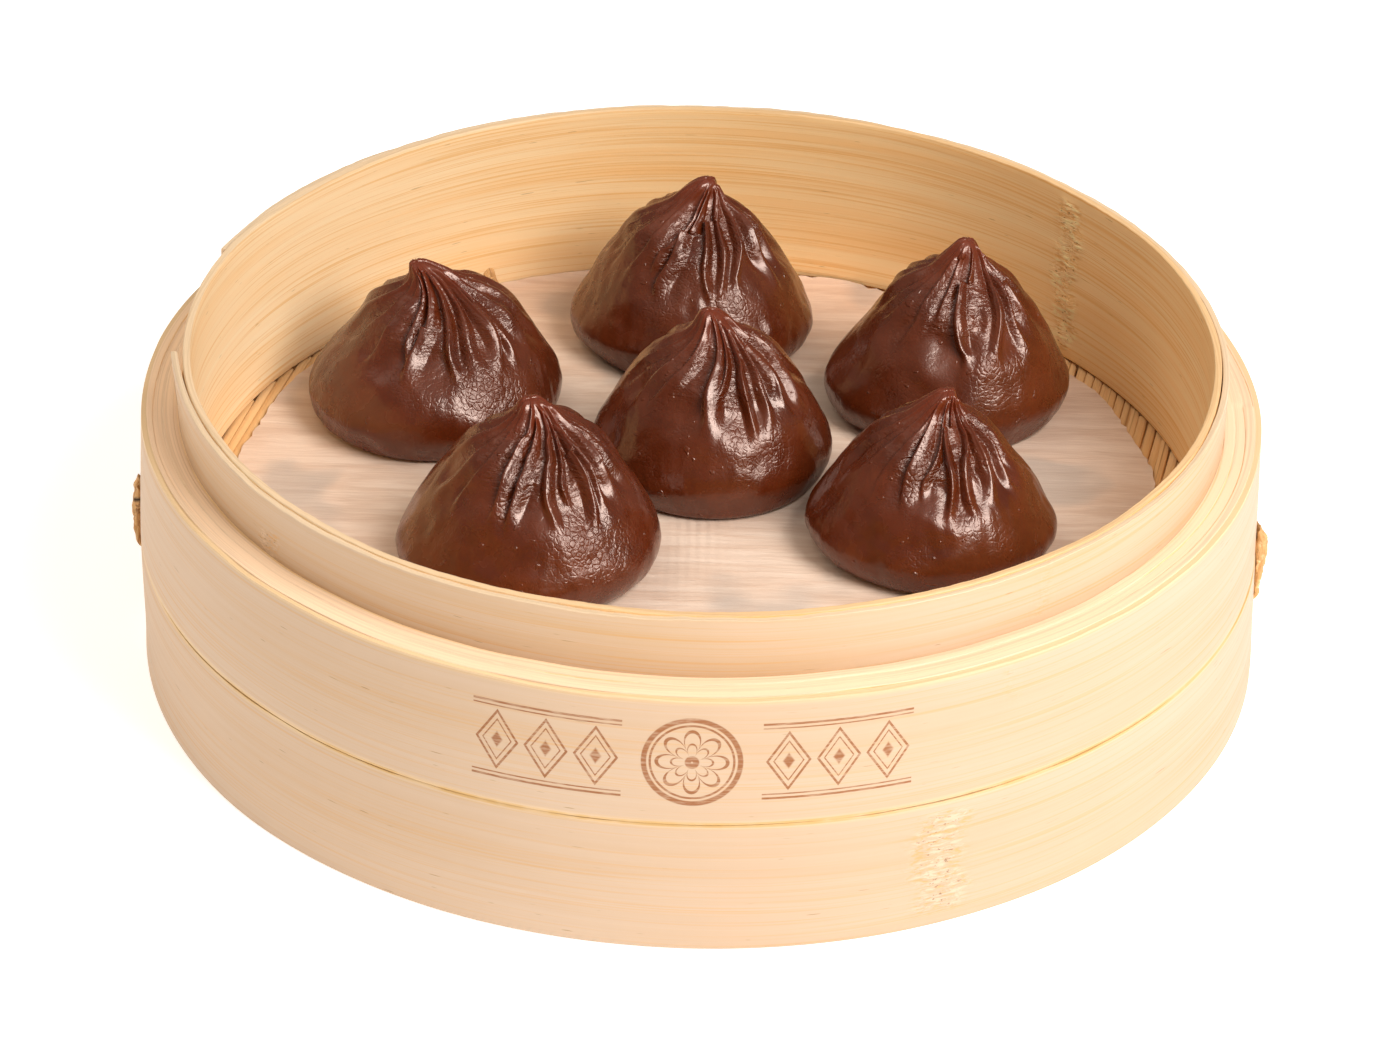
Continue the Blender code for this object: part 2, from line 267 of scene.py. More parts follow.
class Recipe:
    """Builds the node tree of one material; each method returns the output it made."""

    def __init__(self, name):
        self.material = bpy.data.materials.new(name)
        self.material.use_nodes = True
        self.nodes = self.material.node_tree.nodes
        self.links = self.material.node_tree.links
        self.shader = self.nodes["Principled BSDF"]

    def add(self, kind, inputs, output=0, **settings):
        """Adds a node, sets its settings and inputs, and links the inputs given as outputs."""
        node = self.nodes.new(kind)
        for key, value in settings.items():
            setattr(node, key, value)
        for key, value in inputs.items():
            self.feed(node.inputs[key], value)
        return node.outputs[output]

    def feed(self, socket, value):
        """Links an output to an input, or sets the input's own value."""
        if isinstance(value, bpy.types.NodeSocket):
            self.links.new(value, socket)
        elif isinstance(value, tuple) and len(value) == 3 and socket.type == "RGBA":
            socket.default_value = (*value, 1)
        else:
            socket.default_value = value

    def value(self, name, output="Fac"):
        """Reads a value stored on the mesh."""
        return self.add("ShaderNodeAttribute", {}, output, attribute_name=name)

    def position(self):
        """Object coordinates, in metres from the middle of the basket's foot."""
        return self.add("ShaderNodeTexCoord", {}, "Object")

    def axes(self, vector):
        """The x, y and z of a vector."""
        return self.add("ShaderNodeSeparateXYZ", {"Vector": vector}, "X").node.outputs

    def noise(self, vector, scale, detail=2, roughness=0.5, distortion=0):
        """Noise in cycles a metre, one number for each axis or one for all."""
        if isinstance(scale, tuple):
            vector, scale = self.add("ShaderNodeMapping", {"Vector": vector, "Scale": scale}), 1
        return self.add("ShaderNodeTexNoise", {"Vector": vector, "Scale": scale, "Detail": detail,
                                               "Roughness": roughness, "Distortion": distortion})

    def math(self, operation, *numbers):
        """One math node."""
        return self.add("ShaderNodeMath", dict(enumerate(numbers)), operation=operation)

    def times(self, first, second):
        """First times second."""
        return self.math("MULTIPLY", first, second)

    def plus(self, first, second):
        """First plus second."""
        return self.math("ADD", first, second)

    def minus(self, first, second):
        """First minus second."""
        return self.math("SUBTRACT", first, second)

    def absolute(self, number):
        """The number without its sign."""
        return self.math("ABSOLUTE", number)

    def ease(self, value, low, high, start=0, end=1):
        """Maps low..high to start..end with soft ends."""
        return self.add("ShaderNodeMapRange", {"Value": value, "From Min": low, "From Max": high,
                                               "To Min": start, "To Max": end},
                        interpolation_type="SMOOTHSTEP")

    def ramp(self, value, *stops):
        """Picks a colour along a ramp of (place, colour) stops."""
        node = self.nodes.new("ShaderNodeValToRGB")
        self.feed(node.inputs["Fac"], value)
        while len(node.color_ramp.elements) < len(stops):
            node.color_ramp.elements.new(0.5)
        for element, (place_on_ramp, colour) in zip(node.color_ramp.elements, stops):
            element.position = place_on_ramp
            element.color = (*colour, 1)
        return node.outputs["Color"]

    def mix(self, share, first, second, blend="MIX"):
        """Blends two colours."""
        node = self.nodes.new("ShaderNodeMix")
        node.data_type = "RGBA"
        node.blend_type = blend
        self.feed(node.inputs[0], share)
        self.feed(node.inputs[6], first)
        self.feed(node.inputs[7], second)
        return node.outputs[2]

    def bump(self, height, distance, strength=1, under=None):
        """Bends the normal by a height pattern whose full step is `distance` metres."""
        inputs = {"Height": height, "Distance": distance, "Strength": strength}
        if under is not None:
            inputs["Normal"] = under
        return self.add("ShaderNodeBump", inputs)

    def finish(self, **inputs):
        """Feeds the shader; names use underscores for spaces."""
        for key, value in inputs.items():
            self.feed(self.shader.inputs[key.replace("_", " ")], value)
        return self.material


# %% [markdown]
# ## Bamboo
#
# Bamboo has no rings: it is long fibres laid side by side. A strip shows hair-fine lines along its
# length, in bands a few millimetres wide that are warmer or paler, and short brown dashes where a vessel
# was cut. Each strip carries its own direction as a stored vector: two parts run round the ring and the
# third across the strip, so one recipe follows every bend.
#
# Some marks lie on top: scars where a knot was planed off, and brown lines between wound turns. Light is
# painted on top too: shade on the right of the rim, shade in the gap beside the ledge, and a highlight at
# the seam of the bands.

# %% Marks of knots and turns, and painted shade on the rim
HONEY_BAMBOO = (0.66, 0.36, 0.12)
SCAR_WARM = (0.72, 0.38, 0.12)
SCAR_DARK = (0.22, 0.1, 0.035)
CLEAN_LINE = (0.78, 0.53, 0.21)
DIRTY_LINE = (0.36, 0.18, 0.06)
# Tint of the painted shade on the right of the rim.
RIM_SHADE_TINT = (1, 0.9, 0.74)


def tinted(colour, share):
    """A colour made lighter or darker by one share, at most white."""
    return tuple(min(share * part, 1) for part in colour)


def scar_marks(recipe, strip, colour, pale_wood):
    """Where a knot was planed off: short torn fibres, pale and orange, with dark pits between them."""
    knot = recipe.value("knot")
    torn = recipe.noise(strip, (330, 330, 1400), 3, 0.7, 0.5)
    pits = recipe.noise(strip, (900, 900, 1700), 2, 0.6)
    pale = recipe.times(recipe.ease(torn, 0.5, 0.62), recipe.ease(knot, 0.1, 0.7, 0, 0.75))
    warm = recipe.times(recipe.ease(torn, 0.48, 0.36), recipe.ease(knot, 0.05, 0.5, 0, 0.65))
    dark = recipe.times(recipe.ease(pits, 0.62, 0.68), recipe.ease(knot, 0.4, 0.8, 0, 0.7))
    for share, mark in (pale, tinted(pale_wood, 1.24)), (warm, SCAR_WARM), (dark, SCAR_DARK):
        colour = recipe.mix(share, colour, mark)
    return colour, recipe.times(torn, knot)


def wound_marks(recipe, colour):
    """The lines between the turns of the wound strip are honey brown, darker where dirt has caught. The
    same line beside the rim is painted shade of the gap there.
    """
    dirt = recipe.noise(recipe.position(), 55, 3, 0.6)
    line = recipe.mix(recipe.ease(dirt, 0.52, 0.68), CLEAN_LINE, DIRTY_LINE)
    return recipe.mix(recipe.ease(recipe.value("groove"), 0.25, 0.85, 0, 0.75), colour, line)


def rim_painted_shade(recipe, colour):
    """Painted shade: the right of the inner strip, turned away from the key light, is darker and more
    orange, as wood lit only by warm bounced light looks.
    """
    x = recipe.axes(recipe.position())[0]
    return recipe.mix(recipe.ease(x, -0.09, 0.02), colour, RIM_SHADE_TINT, "MULTIPLY")


# %% [markdown]
# ### Burned ornament
#
# Burned into the front of the upper band are a blossom in a double ring and, on each side, a row of
# lozenges between lines. Each line is where some distance has one value. For the blossom, it is the
# distance from its middle. For a lozenge, it is |x| / width + |z| / height.

# %% Burned ornament and painted highlight at the seam
ORNAMENT_RADIUS = 0.1058
ORNAMENT_HEIGHT = 0.0382
MEDALLION = 0.0083
PETALS = 8
ROW_START, ROW_END, ROW_FADE = 0.0122, 0.0386, 0.0002
LOZENGE_PITCH, LOZENGE_WIDTH, LOZENGE_HEIGHT = 0.0088, 0.0037, 0.0056
SEAM_HEIGHT = 0.0254
BURNED = (0.3, 0.095, 0.02)
# Colour of the painted highlight at the seam.
SEAM_HIGHLIGHT = (0.66, 0.4, 0.13)


def strokes(recipe, distance, *lines):
    """1 where the distance is within half a line's width of the line's place, 0 elsewhere. Each line is
    a place and a half width, and the strongest line counts."""
    strongest = None
    for place_of_line, half in lines:
        away = recipe.absolute(recipe.minus(distance, place_of_line))
        mask = recipe.ease(away, half, 1.7 * half, 1, 0)
        strongest = mask if strongest is None else recipe.math("MAXIMUM", strongest, mask)
    return strongest


def band_ornament_and_highlight(recipe, colour):
    """The ornament on the upper band, and a painted highlight along the seam between the bands: a golden
    line where the band edges catch the light.
    """
    x, y, z = recipe.axes(recipe.position())
    around = recipe.times(recipe.math("ARCTAN2", x, recipe.times(y, -1)), ORNAMENT_RADIUS)
    up = recipe.minus(z, ORNAMENT_HEIGHT)
    side, rise = recipe.absolute(around), recipe.absolute(up)
    reach = recipe.plus(recipe.math("POWER", side, 2), recipe.math("POWER", rise, 2))
    reach = recipe.math("SQRT", reach)
    petal = recipe.math("COSINE", recipe.times(recipe.math("ARCTAN2", up, around), PETALS / 2))
    petal = recipe.math("SQRT", recipe.absolute(petal))
    outer_edge = recipe.math("MULTIPLY_ADD", petal, 0.0037, 0.0024)
    inner_edge = recipe.math("MULTIPLY_ADD", petal, 0.0022, 0.0014)
    blossom = strokes(recipe, reach, (MEDALLION, 0.00034), (0.87 * MEDALLION, 0.00015),
                      (outer_edge, 0.00024), (inner_edge, 0.00014), (0.0007, 0.0004))
    cell = recipe.math("DIVIDE", recipe.minus(side, ROW_START), LOZENGE_PITCH)
    along = recipe.absolute(recipe.minus(recipe.math("FRACT", cell), 0.5))
    lozenge = recipe.plus(recipe.times(along, LOZENGE_PITCH / LOZENGE_WIDTH),
                          recipe.math("DIVIDE", rise, LOZENGE_HEIGHT))
    row = recipe.math("MAXIMUM", strokes(recipe, lozenge, (1, 0.05), (0.7, 0.028), (0, 0.2)),
                      strokes(recipe, rise, (0.0074, 0.00016), (0.0066, 0.0001)))
    inside_row = recipe.times(recipe.ease(side, ROW_START - ROW_FADE, ROW_START),
                              recipe.ease(side, ROW_END, ROW_END + ROW_FADE, 1, 0))
    mask = recipe.math("MAXIMUM", blossom, recipe.times(row, inside_row))
    char = recipe.noise(recipe.position(), (300, 300, 2200), 3, 0.6)
    colour = recipe.mix(recipe.times(mask, recipe.ease(char, 0.25, 0.6, 0.35, 0.92)), colour, BURNED)
    # Painted highlight: a golden line along the seam where the band edges catch the light, broken up by
    # noise and fainter towards the left.
    highlight_breaks = recipe.ease(recipe.noise(recipe.position(), 70, 3, 0.6), 0.38, 0.58, 0.15, 0.8)
    seam_highlight = recipe.times(strokes(recipe, z, (SEAM_HEIGHT, 0.0004)), highlight_breaks)
    return recipe.mix(recipe.times(seam_highlight, recipe.ease(x, -0.1, -0.04, 0.4, 1)), colour, SEAM_HIGHLIGHT)


# %% [markdown]
# ### The bamboo recipe
#
# Colours build up in this order: bands, hair lines, lone strong lines, vessel dashes, cut edge, scars,
# then the marks and painted light that only one piece has. The same noise lifts the surface.

# %% Bamboo finish


def bamboo_finish(name, pale, warm, line, rind=(0.79, 0.6, 0.4), streaks=0.5, hair=0.3, sway=0.0012,
                  rough=0.46, marks_and_painted_light=None):
    """Fibre lines are noise stretched along the strip; bands are the same noise at a coarser size."""
    recipe = Recipe(name)
    strip = recipe.value("strip", "Vector")
    lift = recipe.times(recipe.minus(recipe.noise(strip, (9, 9, 30), 1), 0.5), sway * 2)
    offset = recipe.add("ShaderNodeCombineXYZ", {"Z": lift})
    strip = recipe.add("ShaderNodeVectorMath", {0: strip, 1: offset}, operation="ADD")
    hairs = recipe.noise(strip, (16, 16, 2600), 3, 0.55)
    bands = recipe.noise(strip, (7, 7, 330), 3, 0.6)
    clouds = recipe.noise(strip, (16, 16, 60), 2)
    lone = recipe.noise(strip, (11, 11, 1350), 1)
    dashes = recipe.noise(strip, (170, 170, 2300), 1)
    middle = tuple(0.5 * (p + w) for p, w in zip(pale, warm))
    tone = recipe.plus(recipe.times(bands, 0.62), recipe.times(clouds, 0.38))
    colour = recipe.ramp(tone, (0.36, pale), (0.52, middle), (0.66, warm))
    colour = recipe.mix(recipe.ease(hairs, 0.5, 0.68, 0, hair), colour, line)
    colour = recipe.mix(recipe.ease(lone, 0.62, 0.7, 0, streaks), colour, line)
    colour = recipe.mix(recipe.ease(dashes, 0.745, 0.8, 0, 0.55), colour, tinted(line, 0.45))
    cut_colour = recipe.mix(recipe.ease(hairs, 0.4, 0.7), rind, tinted(rind, 0.8))
    colour = recipe.mix(recipe.times(recipe.value("edge"), 0.8), colour, cut_colour)
    colour, torn = scar_marks(recipe, strip, colour, pale)
    if marks_and_painted_light is not None:
        colour = marks_and_painted_light(recipe, colour)
    height = recipe.plus(recipe.plus(recipe.times(hairs, 0.5), bands), recipe.times(torn, 6))
    return recipe.finish(Base_Color=colour, Roughness=recipe.ease(hairs, 0.3, 0.8, rough, rough + 0.16),
                         Normal=recipe.bump(height, 0.00012, 0.6), Specular_IOR_Level=0.35)


bamboo_rim = bamboo_finish("bamboo_rim", (0.98, 0.77, 0.485), (0.96, 0.635, 0.315), (0.82, 0.46, 0.15),
                           (0.7, 0.52, 0.34), 0.55, hair=0.62, sway=0.0035, marks_and_painted_light=rim_painted_shade)
bamboo_wrap = bamboo_finish("bamboo_wrap", (0.665, 0.49, 0.345), (0.625, 0.415, 0.23), HONEY_BAMBOO,
                            (0.74, 0.57, 0.38), 0.45)
bamboo_ledge = bamboo_finish("bamboo_ledge", (0.92, 0.73, 0.53), (0.88, 0.63, 0.41), HONEY_BAMBOO,
                             (0.9, 0.655, 0.445), 0.4, marks_and_painted_light=wound_marks)
bamboo_band = bamboo_finish("bamboo_band", (0.645, 0.478, 0.34), (0.615, 0.428, 0.275), HONEY_BAMBOO,
                            (0.95, 0.7, 0.36), 0.35, marks_and_painted_light=band_ornament_and_highlight)
bamboo_splint = bamboo_finish("bamboo_splint", (0.83, 0.54, 0.265), (0.71, 0.405, 0.16),
                              (0.36, 0.17, 0.055), streaks=0.85, rough=0.5)
print("bamboo finishes:", sum(m.name.startswith("bamboo_") for m in bpy.data.materials))

# %% [markdown]
# ## Rings
#
# Each ring is a section of (radius, height) carried round the basket. The section is a rounded
# rectangle whose edges can flare, and every ring is a little uneven the way bent bamboo is: its edges
# rise and fall by a fraction of a millimetre.

# %% Ring helpers
RING_STEPS = 720
full_turn = all_round(RING_STEPS)


def rounded_section(inner, outer, bottom, top, corner, across, tall):
    """A closed rounded rectangle of (radius, height) points; inner and outer are radii at foot and top,
    or one radius for both."""
    inner, outer = np.broadcast_to(inner, 2), np.broadcast_to(outer, 2)
    turns = np.linspace(0, math.pi / 2, 5)[1:-1]
    share = np.linspace(0, 1, tall)
    width = np.linspace(0, 1, across)
    low, high = bottom + corner, top - corner
    rise = low + (high - low) * share
    cos, sin = corner * np.cos(turns), corner * np.sin(turns)
    sides = [(np.interp(share, [0, 1], outer), rise),
             (outer[1] - corner + cos, high + sin),
             (outer[1] - corner + (inner[1] - outer[1] + 2 * corner) * width, np.full(across, top)),
             (inner[1] + corner - sin, high + cos),
             (np.interp(share, [0, 1], inner)[::-1], rise[::-1]),
             (inner[0] + corner - cos, low - sin),
             (inner[0] + corner + (outer[0] - inner[0] - 2 * corner) * width, np.full(across, bottom)),
             (outer[0] - corner + sin, low - cos)]
    return np.concatenate([np.stack(side, -1) for side in sides])


def round_points(radius, angle, height):
    """Turns radius, angle and height into x, y, z."""
    return np.stack([radius * np.cos(angle), radius * np.sin(angle), height], axis=-1)


def ring_grid(*sizes, angles=full_turn):
    """Copies a rounded section of these sizes to every angle: arrays of radius, height, angle and distance
    across the strip, and the x, y, z of each point."""
    section = rounded_section(*sizes)
    steps = np.linalg.norm(np.diff(section, axis=0, append=section[:1]), axis=1)
    across = np.concatenate([[0], np.cumsum(steps[:-1])])
    shape = (len(angles), len(section))
    rows = (section[:, 0], section[:, 1], angles[:, None], across)
    radius, height, angle, across = (np.broadcast_to(row, shape).copy() for row in rows)
    return radius, height, angle, across, round_points(radius, angle, height)


def strip_vector(angle, across, radius=0.1):
    """The grain direction: a circle of one radius for the way round, and the distance across the strip."""
    return round_points(np.full_like(angle, radius), angle, across)


def skin_ring(name, radius, angle, height, across, closed=True, sharp_deg=50, **values):
    """Skins a ring or an open strip, whose grain runs the way round."""
    values["strip"] = strip_vector(angle, across)
    return skin(name, round_points(radius, angle, height), closed, values, sharp_deg)


def angle_from(angle, degrees):
    """Signed angle in radians from a direction given in degrees, wrapped into half a turn each way."""
    return (angle - np.radians(degrees) + math.pi) % TURN - math.pi


def hill(angle, centre_deg, half_width_deg):
    """A smooth hill of height 1 at one angle, falling to 0 at half_width_deg on each side."""
    return 1 - ease(np.abs(angle_from(angle, centre_deg)), 0, math.radians(half_width_deg))


def knot_mask(angle, height, knots):
    """Ragged upright patches, each a hill across the angle whose middle wanders with height. A knot is
    (weight, direction in degrees, half width in degrees, bottom, top), and the strongest counts."""
    wander = 0.4 * np.sin(height * 330) + 0.35 * np.sin(height * 910 + 1)
    mask = np.zeros_like(angle)
    for weight, centre_deg, half_deg, low, high in knots:
        away = np.abs(np.degrees(angle_from(angle, centre_deg)) - wander)
        tall = ease(height, low, low + 0.003) * (1 - ease(height, high - 0.003, high))
        mask = np.maximum(mask, weight * ((1 - ease(away, 0.1 * half_deg, half_deg)) * tall))
    return mask


def uneven(spot, size, seed):
    """Waves cut off at one spread on each side."""
    return np.clip(waves(spot, size, seed), -1, 1)


# %% [markdown]
# ### The rim
#
# The rim is two thin strips, one inside the other. The inner one closes on itself. The outer one is cut
# off square a little behind the left side and doesn't quite reach round again, and its free end stands
# off by a hair, so a dark slit shows beside it.

# %% Inner strip of the rim
rim_low, rim_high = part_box("rim_inner_hoop")
RIM_INSIDE = 0.0955
RIM_LAYER = 0.0014
RIM_KNOTS = ((1, 40.8, 3.1, 0.026, 0.0615),)
print("rim top at", round(rim_high.z, 4), "outside radius", round(rim_high.x, 4))


def make_rim_inner():
    """A tall thin section whose top edge waves by a tenth of a millimetre."""
    radius, height, angle, across, spot = ring_grid(
        RIM_INSIDE, RIM_INSIDE + RIM_LAYER, rim_low.z, rim_high.z, 0.0003, 6, 26)
    top = ease(height, rim_high.z - 0.002, rim_high.z - 0.0004)
    edge = ease(height, rim_high.z - 0.0003, rim_high.z - 0.0001)
    height -= top * (0.00012 + 0.00008 * uneven(spot, 0.03, 3) + 0.00004 * uneven(spot, 0.0035, 8))
    radius += 0.0001 * waves(spot * (1, 1, 0.4), 0.045, 4) * ease(height, 0.026, 0.034)
    knot = knot_mask(angle, height, RIM_KNOTS) * (radius < RIM_INSIDE + 0.0006)
    radius -= knot * (0.0003 * np.abs(waves(spot * (1, 1, 2.6), 0.0034, 5)) - 0.0001)
    return skin_ring("rim_inner_strip", radius, angle, height, across, True, 45, edge=edge, knot=knot)


place(make_rim_inner(), bamboo_rim, "rim_inner_hoop")

# %% Outer strip of the rim
WRAP_START_DEG = 186
WRAP_SWEEP_DEG = 336
WRAP_STEPS = 640
WRAP_LAYER = 0.0012
WRAP_STAND_OFF = 0.0009
WRAP_LIFT_DEG = 7
WRAP_KNOTS = ((0.3, 308, 2, 0.05, 0.064), (0.9, 220, 3, 0.048, 0.057))
wrap_low, wrap_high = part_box("rim_wrap")
ledge_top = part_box("ledge_hoop")[1].z


def make_rim_wrap():
    """An open strip: its visible end lifts away from the rim above the ledge, most at the top."""
    inside = RIM_INSIDE + RIM_LAYER + 0.00003
    angles = np.radians(WRAP_START_DEG + WRAP_SWEEP_DEG * np.linspace(0, 1, WRAP_STEPS))
    radius, height, angle, across, spot = ring_grid(
        inside, inside + WRAP_LAYER, wrap_low.z, wrap_high.z, 0.0002, 5, 24, angles=angles)
    from_end = angle - math.radians(WRAP_START_DEG)
    lift = np.exp(-from_end / math.radians(WRAP_LIFT_DEG)) * ease(height, ledge_top, wrap_high.z)
    radius += WRAP_STAND_OFF * lift
    top = ease(height, wrap_high.z - 0.002, wrap_high.z - 0.0003)
    edge = ease(height, wrap_high.z - 0.0002, wrap_high.z - 0.0001)
    height -= top * (0.00006 + 0.00018 * np.clip(waves(spot, 0.025, 7), 0, 1)
                     + 0.00005 * uneven(spot, 0.004, 9))
    cut_end = np.clip(1 - from_end / 0.006, 0, 1)
    return skin_ring("rim_outer_strip", radius, angle, height, across, False, 45,
                     edge=np.maximum(edge, cut_end), knot=knot_mask(angle, height, WRAP_KNOTS))


place(make_rim_wrap(), bamboo_wrap, "rim_wrap")

# %% [markdown]
# ### The ledge
#
# The thick ring is one long strip wound several times. From above, the edges of its turns show as
# pale steps with fine brown lines between them, and the lines wander because no strip is quite even.

# %% Wound ledge ring
TURNS_OF_STRIP = 3
GROOVE = 0.00012
LEDGE_INSIDE, LEDGE_OUTER_TOP, LEDGE_OUTER_FOOT = 0.0981, 0.104, 0.106
LEDGE_WOOD_TOP = 0.0505


def make_ledge():
    """Each wound layer's top sits at its own height, with a narrow groove on the line between layers."""
    radius, height, angle, across, spot = ring_grid(
        LEDGE_INSIDE, (LEDGE_OUTER_FOOT, LEDGE_OUTER_TOP), 0, LEDGE_WOOD_TOP, 0.00015, 46, 14)
    share = (radius - LEDGE_INSIDE) / (LEDGE_OUTER_TOP - LEDGE_INSIDE)
    wander = 0.16 * waves(strip_vector(angle, across * 0), 0.1, 11)
    layer = share * TURNS_OF_STRIP + wander + angle / TURN
    line = np.abs((layer + 0.5) % 1 - 0.5)
    top = ease(height, 0.05, 0.0504)
    open_line = 0.15 + 0.85 * ease(waves(spot, 0.05, 12), -0.3, 0.9)
    groove = np.exp(-(line / 0.05) ** 2) * top * open_line
    # Painted shade: beside the rim the groove line also stands for the shade in the gap between ledge and
    # rim, strongest at the left.
    rim_gap_shade = np.exp(-((radius - LEDGE_INSIDE - 0.00025) / 0.0002) ** 2)
    groove = np.maximum(groove, rim_gap_shade * top * (0.25 + 0.75 * hill(angle, 222, 60)))
    step = 0.0001 * np.sin(np.floor(layer) * 2.4) + 0.00007 * waves(spot, 0.02, 13)
    height += top * (step - GROOVE * groove) + 0.0002 * top * (1 - share)
    return skin_ring("ledge_ring", radius, angle, height, across, edge=top, groove=groove)


place(make_ledge(), bamboo_ledge, "ledge_hoop")

# %% [markdown]
# ### The outer bands
#
# Two smooth veneer bands dress the outside, one above the other, with a hairline seam between them. The
# lower one is pressed in a little at the foot of the left side.

# %% Upper and lower band
FOOT_RADIUS = 0.1071
LEDGE_RADIUS = 0.105
LEDGE_HEIGHT = 0.0504
BAND = 0.0012
SEAM_GAP = 0.00003
DENT, DENT_DEG, DENT_HALF_DEG = 0.001, 183, 50
BAND_KNOTS = ((0.8, 294.2, 4.6, 0.001, 0.0245), (0.25, 301, 1.8, 0.04, 0.052))


def outside(height):
    """The outside widens in a straight line from the ledge down to the foot."""
    return LEDGE_RADIUS + (FOOT_RADIUS - LEDGE_RADIUS) * (LEDGE_HEIGHT - height) / LEDGE_HEIGHT


def make_band(name, bottom, top, seed):
    """A flared section whose long edges waver slightly, except the foot it stands on."""
    outer = outside(np.array([bottom, top]))
    radius, height, angle, across, spot = ring_grid(outer - BAND, outer, bottom, top, 0.00006, 5, 24)
    upper = ease(height, top - 0.0012, top - 0.0003)
    lower = (1 - ease(height, bottom + 0.0003, bottom + 0.0012)) * (bottom > 0.01)
    height -= upper * 0.0001 * (1 + uneven(spot, 0.018, seed))
    height += lower * 0.00006 * (1 + uneven(spot, 0.018, seed + 1))
    radius += 0.00008 * waves(spot, 0.05, seed + 2)
    radius -= DENT * hill(angle, DENT_DEG, DENT_HALF_DEG) * (1 - ease(height, 0, 0.025))
    knot = knot_mask(angle, height, BAND_KNOTS) * (radius > outside(height) - 0.0006)
    radius += knot * (0.00012 * waves(spot * (1, 1, 2.6), 0.004, seed + 3) - 0.0001)
    radius = np.minimum(radius, FOOT_RADIUS)
    return skin_ring(name, radius, angle, height, across, edge=0.6 * np.maximum(upper, lower), knot=knot)


upper_veneer = make_band("upper_veneer", SEAM_HEIGHT + SEAM_GAP, LEDGE_HEIGHT, 21)
place(upper_veneer, bamboo_band, "upper_band")
place(make_band("lower_veneer", 0, SEAM_HEIGHT, 25), bamboo_band, "lower_band")

# %% Support ring under the floor
SUPPORT_INSIDE, SUPPORT_OUTSIDE = 0.0925, 0.0982
support_low, support_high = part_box("support_hoop")


def make_support():
    """A plain wound ring that the floor rests on."""
    radius, height, angle, across, spot = ring_grid(
        SUPPORT_INSIDE, SUPPORT_OUTSIDE, support_low.z, support_high.z, 0.0005, 12, 8)
    above = height - 0.5 * (support_low.z + support_high.z)
    flat = ease(np.abs(above), 0.0034, 0.004)
    height -= flat * np.sign(above) * 0.0001 * (1 + uneven(spot, 0.02, 31))
    return skin_ring("support_ring", radius, angle, height, across, edge=flat)


place(make_support(), bamboo_ledge, "support_hoop")

# %% [markdown]
# ## Floor
#
# The floor is splints of split bamboo laid side by side from front to back, their ends cut by hand and
# their tops slightly rounded. Three thicker battens cross under them. Both have a squared oval as their
# section: |cos| and |sin| raised to a power below 1.

# %% Splints
SPLINT_PITCH = 0.0019
SPLINT_THICKNESS = 0.0014
FLOOR_RADIUS = 0.0976
FLOOR_TURN = math.radians(-12)
floor_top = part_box("slat_floor")[1].z


def squared(wave, power):
    """Keeps a wave's sign and raises its size to a power; below 1, this squares the corners of an oval."""
    return np.sign(wave) * np.abs(wave) ** power


def make_splint(number, x, chance):
    """A long bar with a nearly flat top: a section of (width, height) carried along its length, which is
    turned a little from front to back."""
    reach = math.sqrt(max(FLOOR_RADIUS ** 2 - (abs(x) + SPLINT_PITCH / 2) ** 2, 1e-9))
    front, back = -reach + chance.uniform(0, 0.0008), reach - chance.uniform(0, 0.0008)
    if back - front < 0.006:
        return None
    width = SPLINT_PITCH * chance.uniform(0.93, 1.02)
    top = floor_top - chance.uniform(0, 0.0003)
    thick = SPLINT_THICKNESS * chance.uniform(0.85, 1.1)
    turn = all_round(12)
    side = squared(np.cos(turn), 0.25) * width / 2
    rise = squared(np.sin(turn), 0.35) * thick / 2
    run = np.linspace(front, back, 11)
    sway = chance.normal(0, 0.0002) * (run / reach) + 0.00008 * np.sin(run * 40 + number)
    sag = 0.0001 * (1 + np.sin(run * 55 + 2 * number))
    across = x + side[None, :] + sway[:, None]
    along = np.broadcast_to(run[:, None], across.shape)
    grid = np.stack([across * math.cos(FLOOR_TURN) - along * math.sin(FLOOR_TURN),
                     across * math.sin(FLOOR_TURN) + along * math.cos(FLOOR_TURN),
                     top - thick / 2 + rise[None, :] - sag[:, None]], -1)
    strip = np.stack([along + number, np.zeros_like(across), across + 0.013 * number], -1)
    return skin(f"splint_{number}", grid, False, {"strip": strip}, 50)


def make_floor():
    """All splints, from left to right, joined into one piece."""
    chance = np.random.default_rng(41)
    count = int(FLOOR_RADIUS / SPLINT_PITCH)
    made = [make_splint(k + count, k * SPLINT_PITCH, chance) for k in range(-count, count + 1)]
    return join("splint_floor", [piece for piece in made if piece is not None])


place(make_floor(), bamboo_splint, "slat_floor")

# %% Battens
BATTEN_ROWS, BATTEN_COLUMNS = 41, 24


def make_batten(name):
    """A bar that fills its solid's box, with edges that waver by 3 percent."""
    low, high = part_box(name)
    turn = all_round(BATTEN_COLUMNS)
    side = squared(np.cos(turn), 0.35) * (high.y - low.y) / 2
    rise = squared(np.sin(turn), 0.35) * (high.z - low.z) / 2
    along = np.linspace(low.x, high.x, BATTEN_ROWS)[:, None] * np.ones(BATTEN_COLUMNS)
    grid = np.stack([along, (low.y + high.y) / 2 + side * (1 - 0.03 * np.sin(along * 30)),
                     (low.z + high.z) / 2 + rise * np.ones_like(along)], axis=-1)
    across = np.cumsum(np.full(BATTEN_COLUMNS, 0.0012)) * np.ones_like(along)
    strip = np.stack([along, np.full_like(along, low.y), across], -1)
    return skin(name + "_bar", grid, False, {"strip": strip, "edge": np.zeros_like(along)}, 50)


